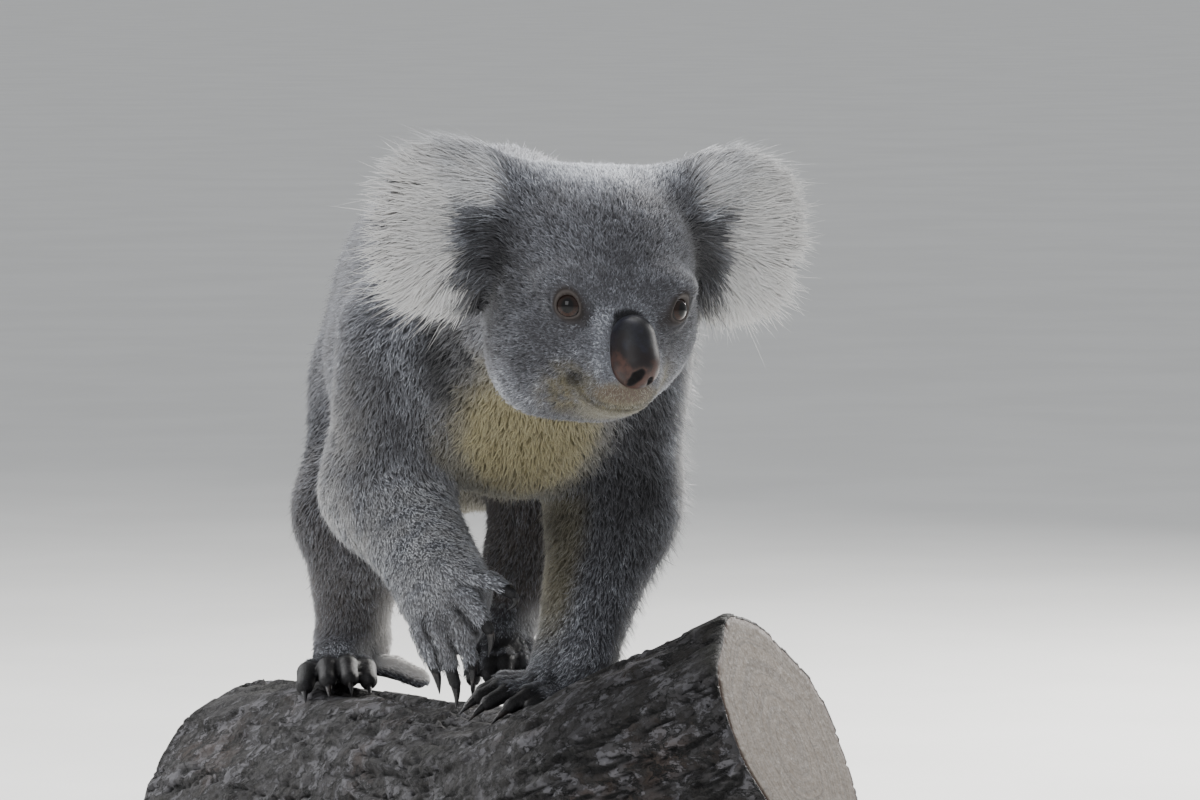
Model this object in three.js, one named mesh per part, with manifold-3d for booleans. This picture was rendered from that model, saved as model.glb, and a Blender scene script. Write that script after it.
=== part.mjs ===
// A life-size koala walking along a cut length of bough, which stands on a flat base and two short rods.
// Millimetres. +Z is up, the koala's body faces -Y and its left is +X.
// The origin is the middle of the base's underside.
// The animal is one smooth field of rounded forms, meshed part by part and parted by thin cuts.
import * as THREE from "three";
import { mergeVertices } from "three/addons/utils/BufferGeometryUtils.js";
import Module from "manifold-3d";

const wasm = await Module();
wasm.setup();

// Driving dimensions. Heights inside the animal are above the bough's top under the left hand.
const GAP = 0.4; // between neighbouring solids
const BASE = { length: 420, width: 290, thickness: 18, corner: 55, bevel: 3, x: 5, y: 82, turn: 34 };
const ROD_RADIUS = 9;
const ROD_SOCKET = 18; // how far a rod enters the bough
const BOUGH_RADIUS = 88;
const CLEARANCE = 62; // from the base to the bough's underside
const STEP_HEIGHT = BASE.thickness + CLEARANCE + 2 * BOUGH_RADIUS; // from the floor to the bough's top
const EYE = { radius: 9.5, apart: 29.5, front: -52, height: 2.5 }; // in the head's own frame
const HEAD = { x: 24, y: -150, z: 236, yaw: 11, pitch: 4, roll: 3 };
const FINGER_CLAW = { length: 15, root: 3.4, tip: 0.7 };
const TOE_CLAW = { length: 14, root: 3.5, tip: 0.7 };
// How softly the rounded forms run into each other.
const FILLET = { trunk: 30, neck: 24, limb: 20, ear: 16, face: 14, paw: 14, earHollow: 10, nose: 9 };

const v = (x, y, z) => new THREE.Vector3(x, y, z);
const clamp01 = (t) => Math.min(1, Math.max(0, t));

// ---------- Fields: signed distance to a form, negative inside ----------

// A tube with round ends whose radius runs from ra at a to rb at b.
function roundCone(a, ra, b, rb) {
  const axis = b.clone().sub(a);
  const lengthSq = axis.lengthSq();
  const q = v(0, 0, 0);
  return (p) => {
    const t = clamp01(q.subVectors(p, a).dot(axis) / lengthSq);
    return q.addScaledVector(axis, -t).length() - (ra + (rb - ra) * t);
  };
}

function ellipsoid(centre, radii) {
  const q = v(0, 0, 0);
  return (p) => {
    q.subVectors(p, centre).divide(radii);
    const share = q.length();
    const slope = q.divide(radii).length();
    return slope > 1e-9 ? (share * (share - 1)) / slope : -Math.min(radii.x, radii.y, radii.z);
  };
}

// A disc with rounded edges: an ellipse in x and z, boxed a little by the power, and thin along y.
function cushion(centre, radii, power) {
  return (p) => {
    const share =
      Math.abs((p.x - centre.x) / radii.x) ** power +
      Math.abs((p.y - centre.y) / radii.y) ** 2 +
      Math.abs((p.z - centre.z) / radii.z) ** power;
    return (share ** 0.5 - 1) * Math.min(radii.x, radii.y, radii.z);
  };
}

// The fields joined with a fillet of about the given radius.
function blend(radius, ...fields) {
  return (p) =>
    fields.reduce((d, field) => {
      const e = field(p);
      const h = Math.max(radius - Math.abs(d - e), 0) / radius;
      return Math.min(d, e) - (h * h * radius) / 4;
    }, 1e3);
}

// The first field with the second scooped out of it, with a soft rim.
function scoop(radius, field, hollow) {
  const outside = blend(radius, (p) => -field(p), hollow);
  return (p) => -outside(p);
}

// A field written in a turned frame, seen from the outside frame.
function placed(field, matrix) {
  const inverse = matrix.clone().invert();
  const q = v(0, 0, 0);
  return (p) => field(q.copy(p).applyMatrix4(inverse));
}

// A chain of tubes through joints, each given as [point, radius].
function chain(radius, joints) {
  const bones = joints.slice(1).map(([b, rb], i) => roundCone(joints[i][0], joints[i][1], b, rb));
  return blend(radius, ...bones);
}

// ---------- The animal's forms ----------

const degrees = THREE.MathUtils.degToRad;
const headTurn = new THREE.Euler(degrees(HEAD.pitch), degrees(HEAD.roll), degrees(HEAD.yaw), "ZXY");
const headFrame = new THREE.Matrix4().makeRotationFromEuler(headTurn).setPosition(HEAD.x, HEAD.y, HEAD.z);
const inHead = (x, y, z) => v(x, y, z).applyMatrix4(headFrame);

const SIDES = { right: -1, left: 1 };
const bothSides = (make) => Object.values(SIDES).map(make);

function trunkField() {
  const chest = ellipsoid(v(4, -2, 200), v(72, 84, 88));
  const back = ellipsoid(v(8, 122, 224), v(86, 150, 90));
  const belly = ellipsoid(v(2, 112, 182), v(94, 138, 74));
  const rump = ellipsoid(v(2, 222, 196), v(79, 90, 98));
  const seat = ellipsoid(v(1, 226, 154), v(79, 80, 66));
  const nape = roundCone(v(6, -20, 226), 68, v(17, -95, 236), 62);
  return blend(FILLET.trunk, chest, back, belly, rump, seat, nape);
}

function headField() {
  const cranium = ellipsoid(v(0, 8, 22), v(61, 62, 54));
  const face = ellipsoid(v(0, -22, -8), v(52, 41, 46));
  const muzzle = ellipsoid(v(0, -49, -34), v(27, 31, 25.5));
  const chin = ellipsoid(v(0, -20, -39), v(36, 22.5, 28));
  const cheeks = [ellipsoid(v(-29.5, -15, -23.5), v(33.5, 38, 41)), ellipsoid(v(24, -6, -14), v(36, 38, 37.5))];
  const brows = bothSides((side) => ellipsoid(v(side * 27, -46, 14), v(20, 16, 12)));
  return placed(blend(FILLET.face, cranium, face, muzzle, chin, ...cheeks, ...brows), headFrame);
}

// The broad round ear with its fringe, hollowed a little in front.
function earField(side) {
  const disc = cushion(v(side * 95, 10, 41), v(41, 15, 49), 2.15);
  const lobe = ellipsoid(v(side * 82, 6, 4), v(26, 12, 24));
  const root = ellipsoid(v(side * 62, 10, 38), v(24, 20, 36));
  const shoulder = roundCone(v(side * 30, 8, 50), 24, v(side * 74, 12, 57), 19);
  const hollow = ellipsoid(v(side * 88, -22, 38), v(28, 22, 34));
  return placed(scoop(FILLET.earHollow, blend(FILLET.ear, disc, lobe, root, shoulder), hollow), headFrame);
}

function noseField() {
  const bridge = ellipsoid(v(1.6, -71, -12.2), v(12, 11.5, 12.4));
  const tip = ellipsoid(v(2.2, -76.5, -26), v(13.3, 13.5, 13.5));
  return placed(blend(FILLET.nose, bridge, tip), headFrame);
}

// Joints of the limbs, from the root outwards.
const ARMS = {
  right: [[v(-58, -14, 208), 44], [v(-70, 12, 118), 35], [v(-44, -56, 66), 26]],
  left: [[v(66, 2, 205), 45], [v(65, 14, 108), 37], [v(39, -10, 24), 24]],
};
const LEGS = {
  right: [[v(-38, 222, 160), 50], [v(-68, 168, 92), 35], [v(-63, 222, 14), 22]],
  left: [[v(40, 222, 160), 50], [v(50, 138, 108), 36], [v(22, 158, 38), 21]],
};
const limbField = (joints) => chain(FILLET.limb, joints);

// Hands and feet: a pad of two tubes from the wrist or heel to the knuckles, then digits given as
// [knuckle, bend, tip] with the ways their claws curl. Thumbs come first.
const PAWS = {
  hand_right: {
    pad: [[v(-46, -60, 62), 23], [v(-44, -74, 47), 19]],
    wrist: { at: v(-46, -56, 68), along: v(0.2, -0.72, -0.66) },
    radius: [6.6, 5.2],
    claw: FINGER_CLAW,
    curls: [v(-0.85, -0.1, -0.5), v(-0.3, 0.2, -1), v(-0.2, 0.3, -1), v(-0.1, 0.2, -1), v(0.1, 0.2, -1)],
    digits: [
      [v(-34, -76, 74), v(-20, -86, 74), v(-10, -88, 65)],
      [v(-36, -83, 63), v(-29, -90, 56), v(-24, -91, 45)],
      [v(-42, -82, 50), v(-37, -89, 37), v(-33, -86, 25)],
      [v(-51, -79, 47), v(-47, -85, 30), v(-42, -81, 14)],
      [v(-61, -73, 44), v(-57, -79, 33), v(-53, -77, 22)],
    ],
  },
  hand_left: {
    pad: [[v(37, -12, 14), 21], [v(20, -20, 5), 15]],
    wrist: { at: v(39, -11, 22), along: v(-0.42, -0.2, -0.88) },
    radius: [7.6, 6],
    claw: FINGER_CLAW,
    curls: Array(5).fill(v(-0.7, -0.2, -0.7)),
    digits: [
      [v(26, -30, 2), v(16, -43, 2), v(6, -50, -4)],
      [v(18, -31, 3), v(6, -42, 3), v(-5, -46, -4)],
      [v(8, -24, 3), v(-5, -32, 5), v(-17, -36, -3)],
      [v(6, -14, 4), v(-8, -19, 6), v(-20, -22, -1)],
      [v(9, -5, 5), v(-4, -7, 8), v(-16, -8, 1)],
    ],
  },
  foot_right: {
    pad: [[v(-64, 223, 2), 21], [v(-75, 194, -4), 17]],
    wrist: { at: v(-63, 222, 14), along: v(-0.05, -0.42, -0.9) },
    radius: [8.4, 7.2],
    claw: TOE_CLAW,
    curls: Array(5).fill(v(0, -0.75, -0.6)),
    digits: [
      [v(-56, 204, -5), v(-40, 201, -6), v(-26, 197, -14)],
      [v(-63, 182, -5), v(-62, 168, -1), v(-62, 156, -10)],
      [v(-73, 179, -3), v(-74, 164, 2), v(-74, 152, -8)],
      [v(-83, 180, -4), v(-86, 165, 1), v(-87, 153, -9)],
      [v(-91, 186, -7), v(-98, 174, -3), v(-100, 162, -13)],
    ],
  },
  foot_left: {
    pad: [[v(22, 154, 29), 20], [v(15, 129, 12), 16]],
    wrist: { at: v(22, 157, 37), along: v(-0.1, -0.55, -0.83) },
    radius: [7.6, 6],
    claw: TOE_CLAW,
    curls: Array(5).fill(v(0, 0.1, -1)),
    digits: [
      [v(27, 133, 14), v(34, 123, 10), v(35, 114, 1)],
      [v(23, 119, 10), v(25, 107, 6), v(24, 101, -4)],
      [v(15, 117, 10), v(15, 104, 8), v(14, 98, -2)],
      [v(7, 119, 10), v(5, 107, 6), v(4, 101, -3)],
      [v(1, 124, 9), v(-4, 114, 4), v(-5, 108, -5)],
    ],
  },
};

const padField = (paw) => chain(FILLET.paw, paw.pad);

// The trunk, neck, head and ears as one smooth form, and the same with the limbs down to their bends.
const torso = blend(FILLET.ear, blend(FILLET.neck, trunkField(), headField()), ...bothSides(earField));
const allJoints = [ARMS.right, ARMS.left, LEGS.right, LEGS.left];
const upperLimbs = allJoints.map((joints) => limbField(joints.slice(0, 2)));
const body = blend(FILLET.limb, torso, ...upperLimbs);

// ---------- Meshing a field ----------

const CORNERS = [0, 1, 2, 3, 4, 5, 6, 7].map((i) => [i & 1, (i >> 1) & 1, i >> 2]);
const EDGES = CORNERS.flatMap((a, i) =>
  CORNERS.flatMap((b, j) => (i < j && a.filter((c, k) => c !== b[k]).length === 1 ? [[i, j]] : [])),
);

// Walks a point down the field's slope onto its surface.
function settle(field, p, reach) {
  const step = reach * 0.02;
  const slope = v(0, 0, 0);
  const q = v(0, 0, 0);
  for (let pass = 0; pass < 4; pass++) {
    const d = field(p);
    for (const axis of ["x", "y", "z"]) {
      q.copy(p)[axis] += step;
      slope[axis] = (field(q) - d) / step;
    }
    const move = THREE.MathUtils.clamp(-d / Math.max(slope.lengthSq(), 0.05), -reach / 3, reach / 3);
    p.addScaledVector(slope, move);
  }
}

// The field's surface inside a box, as a closed geometry of about the given cell size.
// Each grid cell that the surface crosses gets one vertex, and each crossed grid edge joins four of them.
function surfaceOf(field, box, cell) {
  const size = box.getSize(v(0, 0, 0));
  const n = ["x", "y", "z"].map((axis) => Math.ceil(size[axis] / cell) + 3);
  const origin = box.min.clone().addScalar(-cell);
  const shell = (p) => Math.max(field(p), boxDepth(box, p));
  const index = (i, j, k) => i + n[0] * (j + n[1] * k);
  const values = new Float32Array(n[0] * n[1] * n[2]);
  const p = v(0, 0, 0);
  const eachPoint = (visit) => {
    for (let at = 0; at < values.length; at++) {
      visit(at % n[0], Math.floor(at / n[0]) % n[1], Math.floor(at / (n[0] * n[1])));
    }
  };
  eachPoint((i, j, k) => {
    p.set(i, j, k).multiplyScalar(cell).add(origin);
    values[index(i, j, k)] = shell(p) || 1e-6;
  });
  const places = [];
  const vertexAt = new Map();
  eachPoint((i, j, k) => {
    if (i > n[0] - 2 || j > n[1] - 2 || k > n[2] - 2) return;
    const corner = CORNERS.map(([a, b, c]) => values[index(i + a, j + b, k + c)]);
    const crossed = EDGES.filter(([a, b]) => corner[a] < 0 !== corner[b] < 0);
    if (!crossed.length) return;
    const middle = v(0, 0, 0);
    for (const [a, b] of crossed) {
      const t = corner[a] / (corner[a] - corner[b]);
      middle.add(v(...CORNERS[a]).lerp(v(...CORNERS[b]), t));
    }
    middle.divideScalar(crossed.length).add(v(i, j, k)).multiplyScalar(cell).add(origin);
    settle(shell, middle, cell);
    vertexAt.set(index(i, j, k), places.length);
    places.push(middle);
  });
  const faces = [];
  const around = [
    [[0, 0, 0], [0, -1, 0], [0, -1, -1], [0, 0, -1]],
    [[0, 0, 0], [0, 0, -1], [-1, 0, -1], [-1, 0, 0]],
    [[0, 0, 0], [-1, 0, 0], [-1, -1, 0], [0, -1, 0]],
  ];
  eachPoint((i, j, k) => {
    for (let axis = 0; axis < 3; axis++) {
      const next = [i, j, k].map((c, a) => c + (a === axis ? 1 : 0));
      if (next.some((c, a) => c > n[a] - 1)) continue;
      const inside = values[index(i, j, k)] < 0;
      if (inside === values[index(...next)] < 0) continue;
      const ring = around[axis].map(([a, b, c]) => vertexAt.get(index(i + a, j + b, k + c)));
      if (inside) ring.reverse();
      const diagonal = (a, b) => places[ring[a]].distanceTo(places[ring[b]]);
      const shift = diagonal(0, 2) > diagonal(1, 3) ? 1 : 0;
      const at = (m) => ring[(m + shift) % 4];
      faces.push(at(0), at(2), at(1), at(0), at(3), at(2));
    }
  });
  return facesOver(places, faces);
}

// A geometry from a list of points and a list of indices, three for each triangle.
function facesOver(places, faces) {
  const geometry = new THREE.BufferGeometry();
  const numbers = places.flatMap((q) => [q.x, q.y, q.z]);
  geometry.setAttribute("position", new THREE.Float32BufferAttribute(numbers, 3));
  return geometry.setIndex(faces);
}

// How far a point is inside a box, as a negative distance.
function boxDepth(box, p) {
  const depths = ["x", "y", "z"].map((axis) => Math.min(p[axis] - box.min[axis], box.max[axis] - p[axis]));
  return -Math.min(...depths);
}

// ---------- Solids: joining and cutting ----------

function solidOf(geometry) {
  const bare = new THREE.BufferGeometry().setAttribute("position", geometry.getAttribute("position"));
  if (geometry.index) bare.setIndex(geometry.index);
  const merged = mergeVertices(bare, 1e-3);
  const mesh = new wasm.Mesh({
    numProp: 3,
    vertProperties: new Float32Array(merged.attributes.position.array),
    triVerts: new Uint32Array(merged.index.array),
  });
  return new wasm.Manifold(mesh);
}

function geometryOf(solid) {
  const mesh = solid.getMesh();
  const geometry = new THREE.BufferGeometry();
  geometry.setAttribute("position", new THREE.BufferAttribute(mesh.vertProperties.slice(), 3));
  return geometry.setIndex(new THREE.BufferAttribute(mesh.triVerts.slice(), 1));
}

const joined = (solids) => solids.reduce((a, b) => a.add(b));
const without = (solid, cutters) => cutters.reduce((a, b) => a.subtract(b), solid);

// What lies on the side of a plane that the normal points to, half a gap clear of it.
function beyond(solid, normal, point) {
  const n = normal.clone().normalize();
  return solid.trimByPlane([n.x, n.y, n.z], n.dot(point) + GAP / 2);
}

// The largest of a solid's separate bodies.
const main = (solid) => solid.decompose().sort((a, b) => b.volume() - a.volume())[0];

const boxOf = (min, max) => new THREE.Box3(v(...min), v(...max));

// The box round a limb's joints, or round any list of [point, radius].
function boxRound(joints, margin) {
  const box = new THREE.Box3();
  for (const [point, radius] of joints) {
    box.expandByPoint(point.clone().addScalar(radius + margin));
    box.expandByPoint(point.clone().addScalar(-radius - margin));
  }
  return box;
}

// A closed tube along a curve. Its radius is a function of the share of the length and the turn round it.
function tube(curve, radiusAt, rings, sides) {
  const frames = curve.computeFrenetFrames(rings, false);
  const places = [];
  for (let r = 0; r <= rings; r++) {
    const centre = curve.getPointAt(r / rings);
    for (let s = 0; s < sides; s++) {
      const turn = (2 * Math.PI * s) / sides;
      const out = frames.normals[r].clone().multiplyScalar(Math.cos(turn));
      out.addScaledVector(frames.binormals[r], Math.sin(turn));
      places.push(centre.clone().addScaledVector(out, radiusAt(r / rings, turn)));
    }
  }
  places.push(curve.getPointAt(0), curve.getPointAt(1));
  const [first, last] = [places.length - 2, places.length - 1];
  const faces = [];
  for (let s = 0; s < sides; s++) {
    const t = (s + 1) % sides;
    for (let r = 0; r < rings; r++) {
      const [a, b, c, d] = [r * sides + s, r * sides + t, (r + 1) * sides + s, (r + 1) * sides + t];
      faces.push(a, b, d, a, d, c);
    }
    faces.push(first, t, s, last, rings * sides + s, rings * sides + t);
  }
  return solidOf(facesOver(places, faces));
}

// ---------- The bough, the rods and the base ----------

const boughCurve = new THREE.CatmullRomCurve3([
  v(-112, 268, -110),
  v(-72, 188, -100),
  v(-30, 84, -98),
  v(14, -22, -95),
  v(76, -90, -56),
  v(144, -128, -20),
]);

// Low ribs and swellings of the bark, in mm, round the bough and along it.
function barkRelief(along, turn) {
  const ribs = 2.2 * Math.sin(5 * turn + 6 * along) + 1.3 * Math.sin(9 * turn - 11 * along);
  const swellings = 2.4 * Math.sin(7 * along + 2 * turn);
  return ribs + swellings;
}

const boughRadius = (along, turn) => BOUGH_RADIUS - 3 - 4 * along + barkRelief(along, turn);
const BOUGH_MESH = [12, 16]; // rings and sides
const bough = tube(boughCurve, boughRadius, ...BOUGH_MESH);
const boughWithGap = tube(boughCurve, (along, turn) => boughRadius(along, turn) + GAP, ...BOUGH_MESH);

const ROD_SHARES = [0.28, 0.7]; // where along the bough the rods stand
const floorLevel = -STEP_HEIGHT;

function rod(share, margin) {
  const foot = boughCurve.getPointAt(share);
  const bottom = floorLevel + BASE.thickness + GAP - margin;
  const top = foot.z - BOUGH_RADIUS + ROD_SOCKET + margin;
  const geometry = new THREE.CylinderGeometry(ROD_RADIUS + margin, ROD_RADIUS + margin, top - bottom, 16);
  geometry.rotateX(Math.PI / 2).translate(foot.x, foot.y, (top + bottom) / 2);
  return solidOf(geometry);
}

function basePlate() {
  const [w, l, r] = [BASE.width / 2, BASE.length / 2, BASE.corner];
  const outline = new THREE.Shape();
  outline.absarc(w - r, l - r, r, 0, Math.PI / 2);
  outline.absarc(r - w, l - r, r, Math.PI / 2, Math.PI);
  outline.absarc(r - w, r - l, r, Math.PI, 1.5 * Math.PI);
  outline.absarc(w - r, r - l, r, 1.5 * Math.PI, 2 * Math.PI);
  outline.closePath();
  const geometry = new THREE.ExtrudeGeometry(outline, {
    depth: BASE.thickness - 2 * BASE.bevel,
    bevelSize: BASE.bevel,
    bevelOffset: -BASE.bevel,
    bevelThickness: BASE.bevel,
    bevelSegments: 1,
    curveSegments: 4,
  });
  geometry.rotateZ(degrees(BASE.turn));
  return geometry.translate(BASE.x, BASE.y, floorLevel + BASE.bevel);
}

// ---------- The animal's solids ----------

const solids = new Map();
// The mesh size of each part, finer where the form is finer.
const CELL = { trunk: 29, neck: 24, head: 14.5, ear: 11.5, limb: 20, paw: 14, nose: 8 };

// A prism along X whose outline in side view is the hull of two circles, for cutting a limb from the trunk.
function sideBlock(from, fromRadius, to, toRadius, xRange) {
  const run = new THREE.Vector2(to.y - from.y, to.z - from.z);
  const heading = run.angle();
  const lean = Math.acos((fromRadius - toRadius) / run.length());
  const outline = new THREE.Shape();
  outline.absarc(from.y, from.z, fromRadius, heading + lean, heading - lean + 2 * Math.PI);
  outline.absarc(to.y, to.z, toRadius, heading - lean, heading + lean);
  const depth = xRange[1] - xRange[0];
  const block = new THREE.ExtrudeGeometry(outline, { depth, bevelEnabled: false, curveSegments: 6 });
  const toSideView = new THREE.Matrix4().makeBasis(v(0, 1, 0), v(0, 0, 1), v(1, 0, 0));
  return solidOf(block.applyMatrix4(toSideView.setPosition(xRange[0], 0, 0)));
}

const OUTSIDE = 140; // clear of the flanks on either side
// Each limb's nodes, its seam's radius at the root in side view, and how far in its block reaches.
const ARM = { upper: "upper_arm", lower: "forearm", paw: "hand", seam: 47 };
const LEG = { upper: "thigh", lower: "shank", paw: "foot", seam: 66 };
const LIMBS = [
  { ...ARM, name: "right", joints: ARMS.right, inner: -23 },
  { ...ARM, name: "left", joints: ARMS.left, inner: 19 },
  { ...LEG, name: "right", joints: LEGS.right, inner: -22 },
  { ...LEG, name: "left", joints: LEGS.left, inner: 5 },
];
const BEND_SEAM = 46; // the outline's radius at the elbow or knee, in side view

// The block that holds a limb's upper part, from its root in the trunk to its bend.
function limbBlock({ joints, seam, inner }, gap) {
  const [[root], [bend]] = joints;
  const xRange = inner < 0 ? [-OUTSIDE, inner + gap] : [inner - gap, OUTSIDE];
  return sideBlock(root, seam + gap, bend, BEND_SEAM + gap, xRange);
}

// A digit from its knuckle over its bend to its flat end, where the claw begins.
function digitTube(points, [thick, thin]) {
  const curve = new THREE.QuadraticBezierCurve3(...points);
  return tube(curve, (t) => THREE.MathUtils.lerp(thick, thin, t) * (t > 0.99 ? 0.62 : 1), 3, 6);
}

// A claw that leaves the digit's flat end and curls round towards the given way.
function claw([, bend, tip], way, shape) {
  const out = tip.clone().sub(bend).normalize();
  const root = tip.clone().addScaledVector(out, GAP);
  const middle = root.clone().addScaledVector(out, shape.length * 0.55);
  const end = middle.clone().addScaledVector(way.clone().normalize(), shape.length * 0.6);
  const curve = new THREE.QuadraticBezierCurve3(root, middle, end);
  return tube(curve, (t) => THREE.MathUtils.lerp(shape.root, shape.tip, t), 3, 5);
}

// A hand or foot with its claws. A koala's big toe has none.
function addPaw(name, paw, field, hasBareThumb) {
  const pad = solidOf(surfaceOf(field, boxRound(paw.pad, 9), CELL.paw));
  const palm = main(beyond(pad, paw.wrist.along, paw.wrist.at));
  const digits = paw.digits.map(([knuckle, bend, tip]) => {
    const root = knuckle.clone().lerp(paw.pad[1][0], 0.3);
    return digitTube([root, bend, tip], paw.radius);
  });
  solids.set(name, main(joined([palm, ...digits]).subtract(boughWithGap)));
  paw.digits.forEach((points, i) => {
    if (i === 0 && hasBareThumb) return;
    solids.set(`claw_${name}_${i + 1}`, main(claw(points, paw.curls[i], paw.claw).subtract(boughWithGap)));
  });
}

for (const limb of LIMBS) {
  const { joints, name, upper, lower } = limb;
  const pawName = `${limb.paw}_${name}`;
  const paw = PAWS[pawName];
  const [[root], [bend], [end]] = joints;
  const across = bend.clone().sub(root).normalize().add(end.clone().sub(bend).normalize());
  const torsoAndLimb = blend(FILLET.limb, torso, limbField(joints));
  const whole = solidOf(surfaceOf(torsoAndLimb, boxRound(joints.slice(0, 2), 34), CELL.limb));
  const upperPart = beyond(whole.intersect(limbBlock(limb, 0)), across.clone().negate(), bend);
  solids.set(`${upper}_${name}`, main(upperPart));
  const ownField = blend(FILLET.paw, limbField(joints), padField(paw));
  const free = solidOf(surfaceOf(ownField, boxRound(joints.slice(1), 12), CELL.limb));
  const shaft = beyond(beyond(free, across, bend), paw.wrist.along.clone().negate(), paw.wrist.at);
  solids.set(`${lower}_${name}`, main(shaft).subtract(boughWithGap));
  addPaw(pawName, paw, ownField, limb.paw === "foot");
}

// The body inside a box, beyond each of some planes given as [normal, point].
function pieceOf(box, cell, planes) {
  const solid = solidOf(surfaceOf(body, box, cell));
  return planes.reduce((piece, [normal, point]) => beyond(piece, normal, point), solid);
}

// The head is parted from the neck behind the cheeks, and the neck from the trunk before the shoulders.
const napePoint = inHead(0, 36, 0);
const napeAxis = inHead(0, -1, 0.1).sub(inHead(0, 0, 0));
const withersPoint = v(12, -60, 225);
const withersAxis = v(0.14, -0.98, 0.05);
const limbBlocks = LIMBS.map((limb) => limbBlock(limb, GAP));

const trunkPiece = pieceOf(boxOf([-125, -140, 60], [125, 335, 335]), CELL.trunk, [
  [withersAxis.clone().negate(), withersPoint],
]);
solids.set("trunk", main(without(trunkPiece, limbBlocks)));
const neckPiece = pieceOf(boxOf([-70, -150, 110], [110, -20, 330]), CELL.neck, [
  [withersAxis, withersPoint],
  [napeAxis.clone().negate(), napePoint],
]);
solids.set("neck", main(neckPiece));

// An ear is parted from the head by a plane that leans in over the crown.
const earPlane = (side) => {
  const outward = inHead(side * 0.93, 0, 0.36).sub(inHead(0, 0, 0));
  return [outward, inHead(side * 62, 8, 40)];
};
const flipped = ([normal, point]) => [normal.clone().negate(), point];

function eyeball(side, radius) {
  const at = inHead(side * EYE.apart, EYE.front, EYE.height);
  return solidOf(new THREE.IcosahedronGeometry(radius, 1).translate(at.x, at.y, at.z));
}

const noseBox = boxRound([[inHead(0, -75, -25), 32]], 2);
const noseGeometry = surfaceOf(noseField(), noseBox, CELL.nose);

// The nose's own surface moved out by a gap, to hollow its socket.
function noseSocket() {
  const swollen = noseGeometry.clone();
  swollen.computeVertexNormals();
  const { position, normal } = swollen.attributes;
  for (let i = 0; i < position.count; i++) {
    const q = v(0, 0, 0).fromBufferAttribute(normal, i).multiplyScalar(1.3 * GAP);
    q.add(v(position.getX(i), position.getY(i), position.getZ(i)));
    position.setXYZ(i, q.x, q.y, q.z);
  }
  return solidOf(swollen);
}

const headPiece = pieceOf(boxRound([[inHead(0, -10, 0), 92]], 4), CELL.head, [
  [napeAxis, napePoint],
  ...bothSides((side) => flipped(earPlane(side))),
]);
const sockets = bothSides((side) => eyeball(side, EYE.radius + GAP));
solids.set("head", main(without(headPiece, [noseSocket(), ...sockets])));
solids.set("nose", solidOf(noseGeometry));
for (const [name, side] of Object.entries(SIDES)) {
  const box = boxRound([[inHead(side * 96, 8, 36), 62]], 4);
  solids.set(`ear_${name}`, main(pieceOf(box, CELL.ear, [earPlane(side)])));
  solids.set(`eye_${name}`, eyeball(side, EYE.radius));
}

solids.set("stand_perch", without(bough, ROD_SHARES.map((share) => rod(share, GAP))));
ROD_SHARES.forEach((share, i) => solids.set(`stand_rod_${i + 1}`, rod(share, 0)));

// ---------- Materials and assembly ----------

const matt = (color, roughness) => new THREE.MeshStandardMaterial({ color, roughness, metalness: 0 });
const MATERIALS = {
  fur: matt(0x85868c, 0.95),
  ear: matt(0xd3d1d0, 0.95),
  eye: matt(0x2a1710, 0.1),
  nose: matt(0x2c2628, 0.5),
  claw: matt(0x15151a, 0.35),
  perch: matt(0x5a5550, 0.95),
  rod: new THREE.MeshStandardMaterial({ color: 0x9b9da0, roughness: 0.35, metalness: 1 }),
  base: matt(0x26221f, 0.45),
};

function materialOf(name) {
  if (name.startsWith("stand_")) return MATERIALS[name.includes("rod") ? "rod" : "perch"];
  return MATERIALS[name.split("_")[0]] ?? MATERIALS.fur;
}

const koala = new THREE.Group();
for (const [name, solid] of solids) {
  const mesh = new THREE.Mesh(geometryOf(solid), materialOf(name));
  mesh.name = name;
  koala.add(mesh);
}
const base = new THREE.Mesh(basePlate(), MATERIALS.base);
base.name = "stand_base";
koala.add(base);
koala.position.set(-BASE.x, -BASE.y, STEP_HEIGHT);

const display = new THREE.Group();
display.add(koala);
export default display;
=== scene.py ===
"""Looks of the koala model: one skin under a coat of tufts, with eyes, nose, claws, bough and stand."""
import math
from collections import namedtuple

import bmesh
import bpy
import numpy as np
from mathutils import Matrix, Vector


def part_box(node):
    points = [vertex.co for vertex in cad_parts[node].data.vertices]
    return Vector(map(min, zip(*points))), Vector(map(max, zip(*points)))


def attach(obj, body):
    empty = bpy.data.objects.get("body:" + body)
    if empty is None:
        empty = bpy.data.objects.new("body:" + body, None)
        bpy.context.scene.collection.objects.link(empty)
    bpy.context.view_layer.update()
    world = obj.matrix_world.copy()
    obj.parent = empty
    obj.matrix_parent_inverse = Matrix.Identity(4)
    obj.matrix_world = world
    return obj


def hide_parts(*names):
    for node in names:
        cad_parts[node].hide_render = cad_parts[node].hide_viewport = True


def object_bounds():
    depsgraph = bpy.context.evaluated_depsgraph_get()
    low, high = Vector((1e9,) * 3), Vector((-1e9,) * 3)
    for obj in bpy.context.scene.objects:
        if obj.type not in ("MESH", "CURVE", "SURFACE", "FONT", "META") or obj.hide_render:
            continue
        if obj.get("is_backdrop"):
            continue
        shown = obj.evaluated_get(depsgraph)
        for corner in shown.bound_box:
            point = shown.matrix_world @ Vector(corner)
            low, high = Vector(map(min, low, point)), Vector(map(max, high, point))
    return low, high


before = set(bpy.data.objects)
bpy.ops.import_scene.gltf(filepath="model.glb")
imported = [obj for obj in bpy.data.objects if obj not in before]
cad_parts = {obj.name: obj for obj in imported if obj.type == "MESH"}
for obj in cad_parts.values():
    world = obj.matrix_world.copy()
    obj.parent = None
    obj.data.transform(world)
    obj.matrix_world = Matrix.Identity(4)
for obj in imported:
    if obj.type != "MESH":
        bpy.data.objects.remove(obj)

CAD_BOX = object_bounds()
MM = 0.001
SIDES = {"right": -1, "left": 1}
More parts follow.
